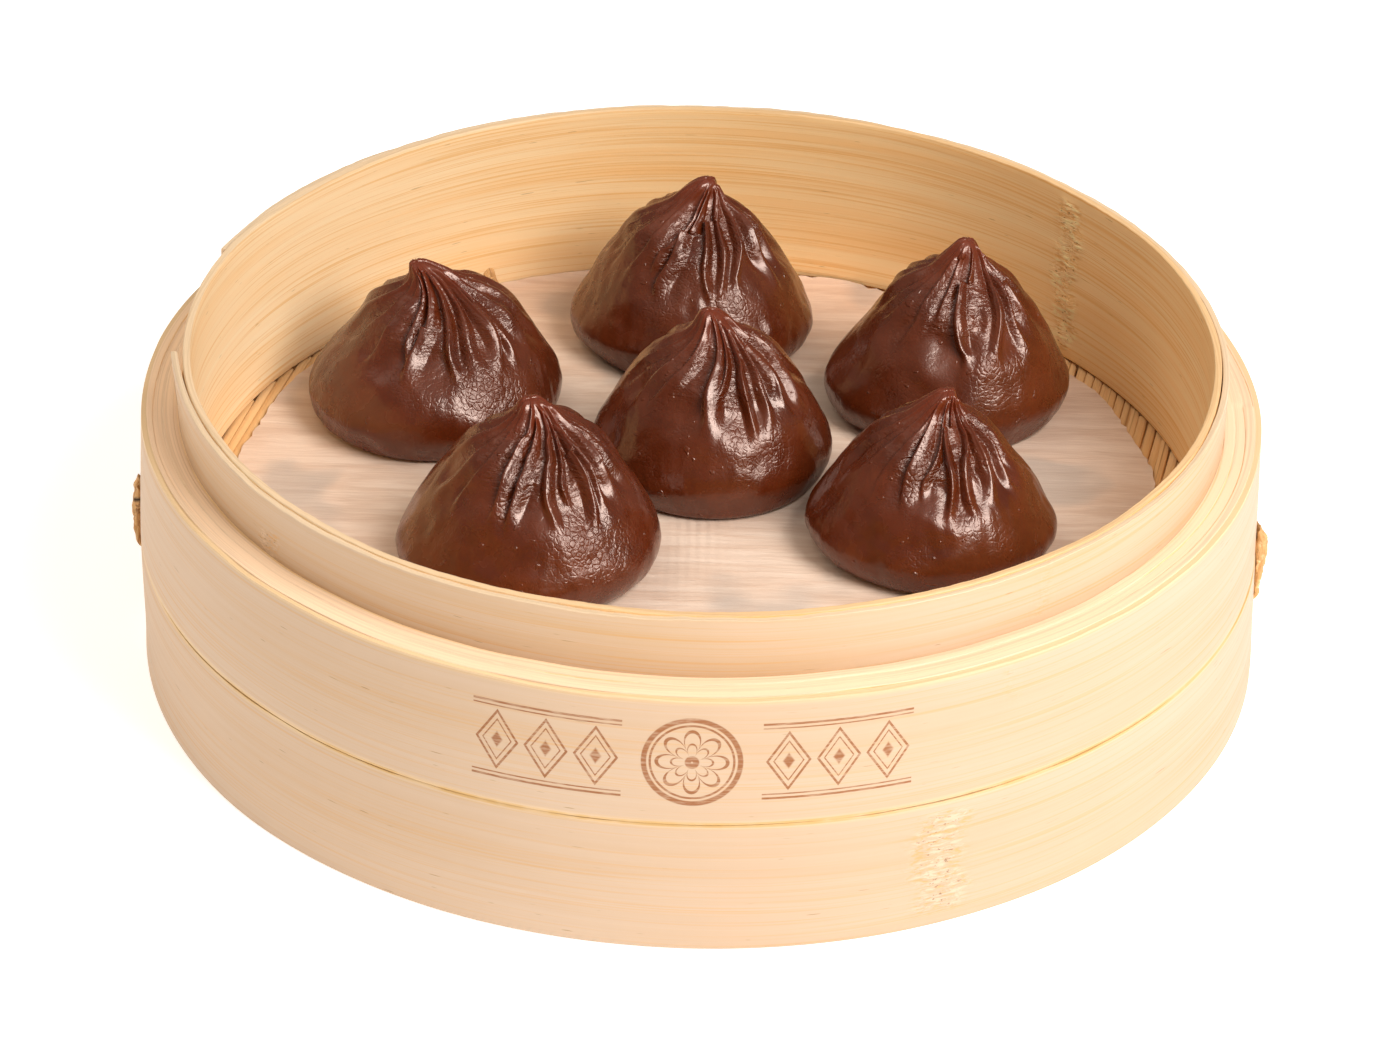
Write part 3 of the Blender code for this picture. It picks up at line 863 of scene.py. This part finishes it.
for batten in ("batten_front", "batten_middle", "batten_rear"):
    place(make_batten(batten), bamboo_splint, batten)

# %% [markdown]
# ## Paper
#
# A round of thin fibrous paper keeps the dough off the bamboo. Steam has made it limp: it follows the
# splints a little, curls up where it meets the wall, and turns grey and see-through where it is wettest.
# Its edge is ragged, most where it sticks to a splint.

# %% Paper liner
paper_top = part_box("paper_liner")[1].z
PAPER_THICKNESS = 0.00012
PAPER_RADIUS = 0.0898
PAPER_CENTRE = Vector((-0.0008, 0.006))
PAPER_ROWS, PAPER_COLUMNS = 60, 360
WALL_ROOM = 0.09535


def paper_finish():
    """Long fibres are noise stretched from side to side; wet patches are slow noise; the back is painted
    darker and warmer, as shade from the back wall.
    """
    recipe = Recipe("steamer_paper")
    spot = recipe.position()
    fibres = recipe.noise(spot, (110, 1500, 200), 4, 0.65, 0.8)
    flow = recipe.noise(spot, (45, 420, 50), 3, 0.6, 0.6)
    wet = recipe.noise(spot, (34, 34, 30), 2)
    colour = recipe.ramp(flow, (0.35, (0.8, 0.63, 0.505)), (0.62, (0.68, 0.495, 0.375)))
    colour = recipe.mix(recipe.ease(fibres, 0.45, 0.75, 0, 0.55), colour, (0.8, 0.65, 0.53))
    colour = recipe.mix(recipe.ease(wet, 0.56, 0.68, 0, 0.55), colour, (0.42, 0.37, 0.33))
    # Painted shade: towards the back the paper is darker and warmer, as in the shade of the back wall.
    far = recipe.ease(recipe.axes(spot)[1], 0.02, 0.09)
    colour = recipe.mix(far, colour, (0.95, 0.87, 0.8), "MULTIPLY")
    height = recipe.plus(fibres, recipe.times(flow, 1.5))
    return recipe.finish(Base_Color=colour, Roughness=0.62, Normal=recipe.bump(height, 0.0002, 0.7),
                         Specular_IOR_Level=0.3)


def ragged_edge(x, y, share, angle, spot):
    """How far the edge falls short of the circle: a slow wave, a fine one, and a part that changes from
    splint to splint and is greatest at the left and right."""
    slow = 0.0005 * waves(round_points(np.full_like(angle, 1), angle, 0 * angle), 0.25, 51)
    across = x * math.cos(FLOOR_TURN) + y * math.sin(FLOOR_TURN)
    stuck = np.sin(np.floor(across / SPLINT_PITCH) * 7.3)
    fine = 0.00025 * np.abs(waves(spot * share[..., None], 0.004, 53))
    return np.clip(slow, 0, 0.001) + fine + 0.00035 * (1 + stuck) * np.abs(np.cos(angle)) ** 2


def make_paper():
    """Two faces of a round sheet, from the middle of the underside out to the edge and back on top."""
    centre_x, centre_y = PAPER_CENTRE
    out = np.concatenate([np.linspace(0.01, 1, PAPER_ROWS), np.linspace(1, 0.01, PAPER_ROWS)])
    share, angle = np.meshgrid(out, all_round(PAPER_COLUMNS), indexing="ij")
    above = np.repeat([0, 1], PAPER_ROWS)[:, None] * np.ones_like(share)
    x = centre_x + PAPER_RADIUS * share * np.cos(angle)
    y = centre_y + PAPER_RADIUS * share * np.sin(angle)
    spot = np.stack([x, y, np.zeros_like(x)], -1)
    wall = WALL_ROOM / np.maximum(np.hypot(x, y), 1e-6)
    shrink = np.minimum(1 - ragged_edge(x, y, share, angle, spot) / PAPER_RADIUS, wall)
    shrink = 1 + (shrink - 1) * ease(share, 0.9, 1)
    x = centre_x + (x - centre_x) * shrink
    y = centre_y + (y - centre_y) * shrink
    ripple = 0.00005 * waves(spot, 0.014, 52) + 0.00004 * np.sin(x / SPLINT_PITCH * TURN)
    curl = 0.0005 * ease(np.hypot(x, y), 0.0935, 0.0953)
    z = paper_top - 0.0001 + ripple + curl + (above - 1) * PAPER_THICKNESS
    return skin("paper_round", np.stack([x, y, z], -1), False, {}, 60)


place(make_paper(), paper_finish(), "paper_liner")

# %% [markdown]
# ## Cane loops
#
# Flat strips of split cane tie the floor to the wall. Each goes out through the wall above the floor,
# down the outside, in again below, and up along the inside. Cane is stiff, so the outer leg bulges. Every
# loop is three strands that change places. A loop is listed with its direction in degrees, the heights
# of its lower and upper end, how far it stands off, and how far its bulge moves towards the upper end.

# %% Lashings
LASHINGS = (("lashing_left", 184, 0.0195, 0.032, 0.0017, 1.5),
            ("lashing_right", 354, 0.0156, 0.0308, 0.0022, 2.6),
            ("lashing_back", 118, 0.018, 0.0318, 0.0018, 1.5))
STRANDS = 3
STRAND_HALF_WIDTH = 0.00085
STRAND_LANE = 0.00135
LOOP_DEPTH = 0.101
# The eye is a spot of painted shade: its drop below the loop's top, its shift to the side and its size.
EYE_DROP, EYE_SIDE, EYE_SIZE = 0.0024, 0.0012, 0.0004


def cane_finish():
    """Split cane: coarse fibres along the strip, brown where the skin is broken, and near-black painted
    shade where the hole in the wall shows.
    """
    recipe = Recipe("cane")
    strip = recipe.value("strip", "Vector")
    fibres = recipe.noise(strip, (90, 90, 1500), 3, 0.6)
    patches = recipe.noise(strip, (420, 420, 600), 3, 0.6)
    colour = recipe.ramp(fibres, (0.32, (0.8, 0.5, 0.22)), (0.52, (0.62, 0.33, 0.12)),
                         (0.72, (0.32, 0.14, 0.05)))
    colour = recipe.mix(recipe.ease(patches, 0.56, 0.66, 0, 0.7), colour, (0.17, 0.075, 0.03))
    colour = recipe.mix(recipe.ease(patches, 0.42, 0.34, 0, 0.6), colour, (0.9, 0.66, 0.36))
    # Painted shade of the hole in the wall.
    colour = recipe.mix(recipe.value("hole_shade"), colour, (0.02, 0.01, 0.005))
    return recipe.finish(Base_Color=colour, Roughness=0.55, Specular_IOR_Level=0.3,
                         Normal=recipe.bump(recipe.plus(fibres, patches), 0.0006, 0.8))


def strand_path(low, high, stand_off, heavy_end, chance):
    """The middle line as (radius, height): down the outside with a bulge, in at the bottom, up the inside
    of the wall as a low flat leg, and out again at the top."""
    height = low + (high - low) * np.linspace(1, 0, 9)
    share = (height - low) / (high - low)
    hump = np.sin(np.pi * np.clip(share, 0, 1) ** heavy_end) ** 0.55
    swell = 0.0004 + (0.5 * stand_off - 0.0004) * hump * chance.uniform(0.9, 1.05, 9)
    outer_leg = np.stack([outside(height) + swell - 0.0001, height], -1)
    inner_leg = np.array([[LOOP_DEPTH, low], [0.0917, low + 0.0004], [0.0913, 0.0224], [0.0918, 0.0262],
                          [0.0946, 0.0275], [0.0952, 0.0292], [0.0985, 0.0302], [LOOP_DEPTH, high]])
    return smooth_curve(np.concatenate([outer_leg, inner_leg, outer_leg[:1]]), 120)[:-1]


def make_strand(name, strand, turn_deg, low, high, stand_off, heavy_end, chance):
    """One strand in the plane of its angle. Its section is a rough flat oval, no thicker than the room
    between the middle line and the wall."""
    low, high = low + 0.0004 * strand, high - 0.0005 * strand
    path = strand_path(low, high, stand_off, heavy_end, chance)
    ahead = np.roll(path, -1, axis=0) - np.roll(path, 1, axis=0)
    ahead /= np.linalg.norm(ahead, axis=1)[:, None]
    normal = np.stack([ahead[:, 1], -ahead[:, 0]], -1)
    turn = all_round(24)
    walked = np.concatenate([[0], np.cumsum(np.linalg.norm(np.diff(path, axis=0), axis=1))])
    walk = walked / walked[-1] * TURN
    half = STRAND_HALF_WIDTH * (1 + 0.18 * np.sin(5 * walk + strand * 2.1))
    none = 0 * walked
    rough_edge = 0.00012 * waves(np.stack([walked, none, none + strand], -1), 0.0016, 64 + strand)
    side = squared(np.cos(turn), 0.7)
    room = np.clip(path[:, 0] - outside(path[:, 1]) + 0.0001, 0.0005, 0.5 * stand_off)
    thick = room[:, None] * squared(np.sin(turn), 0.8)[None, :]
    thick = thick * (1 + 0.15 * np.sin(side[None, :] * 5 + 9 * walk[:, None])) + rough_edge[:, None]
    radius = path[:, 0:1] + normal[:, 0:1] * thick
    tall = path[:, 1:2] + normal[:, 1:2] * thick
    lane = (strand - (STRANDS - 1) / 2) * STRAND_LANE * np.cos(walk * 1.5 + 0.4 * strand)
    offset = lane[:, None] + side[None, :] * half[:, None]
    a = math.radians(turn_deg)
    grid = np.stack([radius * math.cos(a) - offset * math.sin(a),
                     radius * math.sin(a) + offset * math.cos(a), tall], -1)
    strip = np.stack([np.broadcast_to(walked[:, None] + strand, radius.shape), np.zeros(radius.shape),
                      offset + thick], -1)
    # Painted shade: a near-black spot on the outer leg just under the upper hole, standing for the dark of
    # the hole in the wall.
    hole_shade_spot = np.exp(-(((tall - (high - EYE_DROP)) / EYE_SIZE) ** 2
                   + ((offset + EYE_SIDE * math.cos(a)) / EYE_SIZE) ** 2)) * (radius > outside(tall))
    values = {"strip": strip, "hole_shade": np.clip(1.6 * hole_shade_spot, 0, 1)}
    return skin(f"{name}_strand_{strand}", grid, True, values, 60)


cane = cane_finish()
for seed, (lashing, *sizes) in enumerate(LASHINGS):
    chance = np.random.default_rng(60 + seed)
    strands = [make_strand(lashing, strand, *sizes, chance) for strand in range(STRANDS)]
    place(join(lashing + "_cane", strands), cane, lashing)

# %% [markdown]
# ## Dumplings
#
# A soup dumpling is a disc of dough gathered up round its filling. The maker folds the rim over itself
# some eighteen times while turning it, and the folds meet in a small twisted tip. The dome is a turned
# outline. On the near side, the dough sinks by the pleat depth above a wavy shoulder, and each pleat
# stands up from there as a ridge along its own crest line, which leans over as it nears the tip. On the
# far side the pleats are evenly paced valleys. Lobes bend the belly out or in, and pebbled patches show
# where the dough was stretched.

# %% Dumpling outline
OUTLINE = ((0, 0.86), (0.012, 0.905), (0.05, 0.955), (0.1, 0.985), (0.17, 1), (0.25, 0.965),
           (0.33, 0.905), (0.47, 0.79), (0.6, 0.665), (0.71, 0.545), (0.79, 0.395), (0.86, 0.245),
           (0.92, 0.165), (0.965, 0.115), (0.99, 0.075), (1, 0.02))
LEVELS = 180
AROUND = 400
print("outline points:", len(OUTLINE), "grid:", LEVELS, "by", AROUND)

# %% Pleat ridges
PLEAT_DEPTH = 0.002
FAR_PACE_DEG = 21
MIDDLE_OF_FRONT_DEG = -80
TIP_TWIST_DEG = 20


def raise_ridges(angle, level, radius, ridges, chance):
    """Union of the pleats, (sum of r^4)^(1/4). A pleat is a roof of two flat faces with a rounded crest: r
    falls evenly with x, the distance from its crest line over its half width. The face turned to the
    front of the dumpling is the wider one."""
    total = np.zeros_like(angle)
    for height, half_mm, *crest in ridges:
        crest = np.reshape(crest, (-1, 2)) / (1, 100)
        line = smooth_curve(crest, 60)
        wander = 2 * np.sin(chance.uniform(12, 20) * level + chance.uniform(0, 6))
        aside = angle_from(angle, np.interp(level, line[:, 1], line[:, 0]) + wander) * radius
        half = half_mm * MM * np.clip(radius / 0.0135, 0.3, 1)
        lean = 0.45 * min(max((crest[0][0] + 72) / 30, -1), 1)
        x = np.where(aside < 0, -aside / ((1 + lean) * half), aside / ((1 - lean) * half))
        roof = np.clip(1.25 - np.sqrt(x * x + 0.0625), 0, 1)
        foot, top = crest[0][1], crest[-1][1]
        ends = ease(level, foot - 0.15, foot) * (1 - ease(level, top, top + 0.05))
        height = height * (0.92 + 0.1 * np.sin(chance.uniform(14, 24) * level + chance.uniform(0, 6)))
        total += (height * ends * roof ** 1.15) ** 4
    return total ** 0.25


def press_back(angle, level, radius, chance):
    """Evenly paced valleys for the far side: each falls as (1 - |x|)^1.5 to the crests beside it."""
    folds = np.zeros_like(angle)
    half = 0.5 * math.radians(FAR_PACE_DEG) * radius
    for turn_deg in np.arange(20, 200, FAR_PACE_DEG):
        foot = chance.uniform(0.44, 0.54)
        line = turn_deg + chance.normal(0, 3) + 22 * ease(level, 0.6, 0.97)
        line = line + chance.normal(0, 7) * (0.6 - level)
        x = np.clip(np.sqrt((angle_from(angle, line) * radius / half) ** 2 + 0.03) - 0.05, 0, 1)
        deep = np.minimum(0.7 * half, chance.uniform(0.5, 0.9) * PLEAT_DEPTH)
        folds = np.maximum(folds, deep * ease(level, foot, foot + 0.2) * (1 - x) ** 1.5)
    return folds


def press_folds(angle, level, radius, spec):
    """Depth of the dough under its outline: between the ridges of the near side it sinks by the pleat
    depth from a wavy shoulder upwards, and round the far side it has evenly paced valleys."""
    chance = np.random.default_rng(spec["seed"] + 100)
    ridges = raise_ridges(angle, level, radius, spec["ridges"], chance)
    shoulder = 0.54 + 0.03 * np.sin(3 * angle + chance.uniform(0, 6))
    shoulder += 0.03 * np.sin(8 * angle + chance.uniform(0, 6))
    sunk = np.minimum(PLEAT_DEPTH, 0.25 * radius) * ease(level, shoulder - 0.11, shoulder + 0.12)
    sunk *= 1 - 0.5 * ease(-np.degrees(angle_from(angle, 0)), 105, 135)
    near = sunk * np.maximum(1 - ridges, -0.15)
    middle = MIDDLE_OF_FRONT_DEG + TIP_TWIST_DEG * ease(level, 0.6, 0.97)
    front = 1 - ease(np.abs(np.degrees(angle_from(angle, middle))), 82, 100)
    folds = front * near + (1 - front) * press_back(angle, level, radius, chance)
    for turn_deg, at_level, half_mm, tall_share, depth_mm in spec["hollows"]:
        aside = angle_from(angle, turn_deg) * radius / (half_mm * MM)
        oval = np.sqrt(aside ** 2 + ((level - at_level) / tall_share) ** 2)
        folds = folds + depth_mm * MM * (1 - ease(oval, 0.2, 1))
    return folds


def bells(angle, level, spots, tall):
    """Sum over spots (angle, level, amount, spread): the amount times a bell in angle and one in level."""
    total = np.zeros_like(angle)
    for turn_deg, at_level, amount, spread_deg in spots:
        away = np.degrees(angle_from(angle, turn_deg)) / spread_deg
        total += amount * np.exp(-away ** 2 - ((level - at_level) / tall) ** 2)
    return total


# %% [markdown]
# ### The six dumplings
#
# Each one leans and twists its tip a little differently. A ridge is its height as a share of the pleat
# depth, its half width in millimetres, then its crest line from foot to tip: direction in degrees (-90
# is the front) and level in percent, point after point. A lobe or a pebbled patch is a direction, a
# level, an amount and a spread in degrees. A hollow is a direction, a level, a half width in millimetres,
# a half height and a depth in millimetres.

# %% Table of the six dumplings
DUMPLINGS = {
    "left_back": {
        "seed": 71, "lean": 0.0029, "tip_shift": -0.0058, "hollows": (),
        "ridges": ((0.7, 2.4, -160, 50, -154, 72, -146, 86, -132, 97),
                   (0.7, 1.6, -137, 58, -135, 74, -130, 85, -118, 97),
                   (0.9, 0.9, -112, 64, -113, 78, -113, 88, -103, 96),
                   (1, 1.7, -106, 50, -107, 64, -102, 76, -97, 88, -86, 97),
                   (1, 1.4, -77, 50, -78, 64, -79, 76, -76, 87, -66, 96),
                   (0.7, 1.6, -64, 60, -61, 74, -56, 85, -45, 95),
                   (1, 1.8, -45, 48, -43, 62, -39, 77, -30, 88, -18, 96),
                   (0.8, 1.1, -34, 52, -33, 68, -28, 80, -16, 90),
                   (0.8, 1.8, -16, 50, -12, 66, -2, 80, 12, 92)),
        "lobes": ((-160, 0.1, -0.9, 45), (-80, 0.03, -0.7, 40), (-10, 0.2, -0.7, 25), (170, 0.7, 0.9, 30),
                  (-100, 0.36, 0.5, 25)),
        "pebbles": ((-60, 0.48, 1, 18), (-48, 0.38, 0.9, 18))},
    "left_front": {
        "seed": 72, "lean": 0.0019, "tip_shift": -0.0016, "hollows": ((-60, 0.72, 1.8, 0.07, 0.4),),
        "ridges": ((0.7, 2.4, -162, 50, -156, 70, -146, 86, -132, 97),
                   (0.7, 1.5, -140, 60, -138, 76, -130, 87, -118, 97),
                   (1, 1.2, -114, 55, -117, 70, -112, 80, -98, 88, -88, 97),
                   (0.9, 1.3, -102, 54, -104, 66, -100, 76, -92, 82, -80, 90),
                   (1, 1.3, -76, 54, -78, 70, -74, 79, -62, 87, -50, 95),
                   (0.6, 0.8, -64, 70, -60, 78, -52, 85, -40, 92),
                   (1, 1.3, -47, 54, -46, 68, -41, 78, -28, 87, -14, 95),
                   (0.7, 1, -36, 62, -35, 74, -27, 83, -12, 92),
                   (1, 1.8, -23, 46, -22, 60, -18, 72, -8, 82, 8, 93),
                   (0.8, 1.6, -4, 56, 2, 70, 12, 82, 28, 93)),
        "lobes": ((-165, 0.08, 1.2, 25), (-20, 0.16, 0.3, 22), (-45, 0.03, -0.6, 25)),
        "pebbles": ((-60, 0.42, 1.1, 17), (-40, 0.36, 0.8, 14), (-110, 0.6, 0.6, 9))},
    "back": {
        "seed": 73, "lean": -0.0004, "tip_shift": 0.0027, "hollows": (),
        "ridges": ((0.8, 2.4, -160, 52, -152, 72, -142, 86, -125, 97),
                   (0.8, 1.5, -140, 60, -136, 76, -126, 88, -112, 97),
                   (0.9, 1, -122, 70, -110, 79, -95, 86, -82, 94),
                   (1, 1.6, -114, 58, -112, 69, -100, 78, -84, 86, -70, 95),
                   (1, 1.1, -80, 54, -79, 70, -73, 77, -56, 85, -38, 93),
                   (0.8, 1.3, -70, 52, -66, 64, -60, 76, -44, 86, -28, 94),
                   (0.9, 1.2, -55, 58, -47, 68, -38, 76, -22, 84, -8, 94),
                   (1, 1.8, -27, 48, -22, 62, -16, 72, 0, 82, 18, 93),
                   (0.7, 1.5, -6, 52, 2, 68, 14, 80, 30, 92)),
        "lobes": ((-172, 0.14, 1.6, 30), (-6, 0.14, 0.6, 22), (-150, 0.75, 0.9, 25), (-20, 0.8, 0.7, 25)),
        "pebbles": ((-64, 0.48, 0.7, 10), (-110, 0.42, 0.6, 8))},
    "middle": {
        "seed": 74, "lean": 0.0006, "tip_shift": -0.0017, "hollows": (),
        "ridges": ((0.8, 2.2, -152, 48, -148, 70, -140, 85, -128, 97),
                   (0.9, 1.6, -137, 56, -130, 72, -122, 85, -112, 97),
                   (1, 2, -98, 52, -95, 68, -88, 82, -80, 96),
                   (0.7, 0.9, -88, 66, -77, 80, -70, 88, -62, 96),
                   (1, 1.2, -66, 54, -63, 70, -57, 79, -46, 92),
                   (0.7, 1.2, -53, 50, -48, 66, -42, 76, -30, 88),
                   (1, 1.7, -32, 48, -31, 66, -24, 74, -5, 84, 8, 94),
                   (0.9, 1.5, -14, 55, -8, 68, 5, 78, 22, 90)),
        "lobes": ((-25, 0.1, -0.6, 30), (-90, 0.02, -0.5, 50)),
        "pebbles": ((-75, 0.48, 0.6, 8), (-50, 0.38, 0.8, 10), (-133, 0.62, 0.6, 6))},
    "right_front": {
        "seed": 75, "lean": -0.0009, "tip_shift": 0.0026, "hollows": ((-55, 0.68, 1, 0.06, 0.4),),
        "ridges": ((0.8, 2.4, -160, 50, -150, 70, -138, 84, -120, 97),
                   (0.8, 1.6, -134, 56, -130, 72, -122, 84, -108, 97),
                   (1, 1.8, -112, 55, -112, 72, -103, 82, -92, 90, -88, 98),
                   (0.6, 0.9, -99, 64, -92, 76, -85, 85, -78, 93),
                   (1, 1.1, -80, 52, -79, 70, -73, 79, -61, 87, -55, 96),
                   (0.9, 1.2, -66, 52, -63, 68, -56, 76, -42, 86, -36, 96),
                   (1, 1.5, -50, 52, -43, 66, -37, 75, -24, 83, -12, 94),
                   (0.7, 1.1, -27, 54, -22, 66, -14, 77, 2, 88),
                   (0.8, 1.6, -10, 52, -4, 66, 8, 78, 25, 90)),
        "lobes": ((-160, 0.14, 1.6, 30), (-10, 0.16, 1.6, 22), (-110, 0.05, 0.3, 25), (-60, 0.1, -0.6, 25)),
        "pebbles": ((-72, 0.5, 0.7, 10), (-110, 0.62, 0.9, 7))},
    "right_back": {
        "seed": 76, "lean": 0.0015, "tip_shift": 0.0005, "hollows": ((-75, 0.72, 2.2, 0.09, 0.4),),
        "ridges": ((0.7, 2.2, -158, 52, -152, 72, -144, 86, -130, 97),
                   (0.9, 1.5, -132, 60, -131, 76, -124, 87, -110, 96),
                   (0.6, 1.4, -116, 78, -112, 87, -102, 95),
                   (1, 1.3, -88, 54, -93, 66, -94, 74, -86, 81, -73, 88, -64, 96),
                   (1, 1.4, -64, 52, -61, 62, -55, 72, -46, 79, -28, 86, -15, 95),
                   (0.8, 1.2, -40, 52, -37, 66, -30, 76, -16, 86),
                   (1, 1.9, -22, 54, -20, 68, -10, 78, 8, 90)),
        "lobes": ((-170, 0.14, 2, 26), (-50, 0.04, -1.2, 30), (175, 0.5, -0.4, 30),
                  (-165, 0.75, 0.9, 25)),
        "pebbles": ((-72, 0.48, 0.8, 10), (-131, 0.76, 0.7, 7))},
}
print("ridges:", {name: len(spec["ridges"]) for name, spec in DUMPLINGS.items()})

# %% Dumpling maker
TIP_SHIFT_POWER = 8
TIP_ROOM = 0.0001
LOBE_TALL, PEBBLE_TALL = 0.14, 0.12


def make_dumpling(name, spec):
    """Outline, belly swell, folds and fine wrinkles, each added along the outline's own normal."""
    low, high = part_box("dumpling_" + name)
    tall = high.z - low.z - TIP_ROOM
    wide = 0.5 * (high.y - low.y)
    outline = smooth_curve(np.array(OUTLINE)[:, ::-1] * (wide, tall), LEVELS)
    slope = np.gradient(outline, axis=0)
    slope /= np.linalg.norm(slope, axis=1)[:, None]
    level, angle = np.meshgrid(outline[:, 1] / tall, all_round(AROUND), indexing="ij")
    radius = np.broadcast_to(outline[:, 0:1], level.shape)
    out_r, out_z = slope[:, 1:2], -slope[:, 0:1]
    spot = round_points(radius, angle, level * tall)
    folds = press_folds(angle, level, np.maximum(radius, 0.001), spec)
    swell = 0.00022 * waves(spot, 0.03, spec["seed"]) + 0.00012 * waves(spot, 0.012, spec["seed"] + 10)
    crinkle = 0.00005 * waves(spot * (1, 1, 0.5), 0.0035, spec["seed"] + 20)
    skin_lift = ease(level, 0, 0.05) * (swell * (1 - ease(level, 0.75, 0.95)) + crinkle)
    lift = skin_lift + MM * bells(angle, level, spec["lobes"], LOBE_TALL) - folds
    fold_lean = 0.3 * (folds - 0.0006) * ease(level, 0.3, 0.6)
    leaning = angle + fold_lean / np.maximum(radius, 0.004)
    radius = radius + lift * out_r
    height = low.z + level * tall + lift * out_z * ease(level, 0, 0.1)
    centre_x = 0.5 * (low.x + high.x) - 0.15 * spec["lean"]
    x = (centre_x + spec["lean"] * level + spec["tip_shift"] * level ** TIP_SHIFT_POWER
         + radius * np.cos(leaning))
    y = 0.5 * (low.y + high.y) + radius * np.sin(leaning)
    values = {"fold": folds / PLEAT_DEPTH, "level": level,
              "pebble": bells(angle, level, spec["pebbles"], PEBBLE_TALL)}
    return skin("dumpling_" + name + "_dough", np.stack([x, y, height], -1), False, values, None)


# %% [markdown]
# ### Dough
#
# The dough is nearly black-brown and its wet skin mirrors the lights with a warm tint. All fine relief is
# bump, laid one layer over another: skin grain, pebbles, wrinkles, crumpled creases near the tip, specks.

# %% Dough finish


def dough_finish():
    """Dark cocoa dough with a wet skin: cell cracks and wrinkles in the bump, redder where it is thin."""
    recipe = Recipe("cocoa_dough")
    spot = recipe.position()
    level = recipe.value("level")
    mottle = recipe.noise(spot, 130, 3, 0.6)
    colour = recipe.ramp(mottle, (0.3, (0.07, 0.0106, 0.0018)), (0.7, (0.113, 0.02, 0.0038)))
    colour = recipe.mix(recipe.ease(level, 0.75, 1, 0, 0.7), colour, (0.16, 0.026, 0.008))
    stretched = recipe.ease(recipe.noise(spot, 90, 2), 0.5, 0.72, 0.12, 0.6)
    patchy = recipe.plus(recipe.value("pebble"), stretched)
    cells = recipe.add("ShaderNodeTexVoronoi", {"Vector": spot, "Scale": 900}, "Distance",
                       feature="DISTANCE_TO_EDGE")
    grain = recipe.noise(spot, 900, 3, 0.6)
    pebbles = recipe.times(recipe.ease(cells, 0, 0.22), patchy)
    wrinkles = recipe.times(recipe.noise(spot, (420, 420, 210), 3, 0.6, 1.2), patchy)
    pinched = recipe.times(recipe.ease(level, 0.58, 0.7), recipe.ease(level, 0.92, 0.86))
    pinched = recipe.times(pinched, recipe.ease(recipe.value("fold"), 0.15, 0.5))
    crumple = recipe.times(recipe.noise(spot, (420, 420, 1300), 3, 0.6, 0.8), pinched)
    specks = recipe.ease(recipe.noise(spot, 520, 1), 0.7, 0.76)
    bent = recipe.bump(grain, 0.00006, 0.8)
    for height, deep, strength in ((pebbles, 0.00008, 0.8), (wrinkles, 0.00032, 0.8),
                                   (crumple, 0.0006, 0.8), (specks, 0.00018, 0.9)):
        bent = recipe.bump(height, deep, strength, bent)
    rough = recipe.plus(recipe.ease(mottle, 0.3, 0.7, 0.21, 0.29), recipe.times(patchy, 0.09))
    return recipe.finish(Base_Color=colour, Roughness=rough, Normal=bent,
                         Specular_IOR_Level=0.68, Specular_Tint=(1, 0.82, 0.73), Coat_Weight=0.11,
                         Coat_Roughness=0.09, Coat_Normal=bent,
                         Subsurface_Weight=0.12, Subsurface_Radius=(0.006, 0.0018, 0.0008),
                         Subsurface_Scale=0.5)


cocoa_dough = dough_finish()
for dumpling, spec in DUMPLINGS.items():
    place(make_dumpling(dumpling, spec), cocoa_dough, "dumpling_" + dumpling)

# %% [markdown]
# ## Table
#
# A plain pale floor carries the basket.

# %% Table
TABLE_REACH = 3
TABLE_DROP = 0.0002


def make_table():
    """A wide flat sheet just under the basket's foot."""
    mesh = bpy.data.meshes.new("table")
    corners = [(-1, -1), (1, -1), (1, 1), (-1, 1)]
    mesh.from_pydata([(x * TABLE_REACH, y * TABLE_REACH, -TABLE_DROP) for x, y in corners], [],
                     [(0, 1, 2, 3)])
    table = bpy.data.objects.new("table", mesh)
    bpy.context.scene.collection.objects.link(table)
    recipe = Recipe("pale_table")
    mesh.materials.append(recipe.finish(Base_Color=(0.93, 0.93, 0.93), Roughness=0.9,
                                        Emission_Color=(1, 1, 1), Emission_Strength=0.45))


make_table()
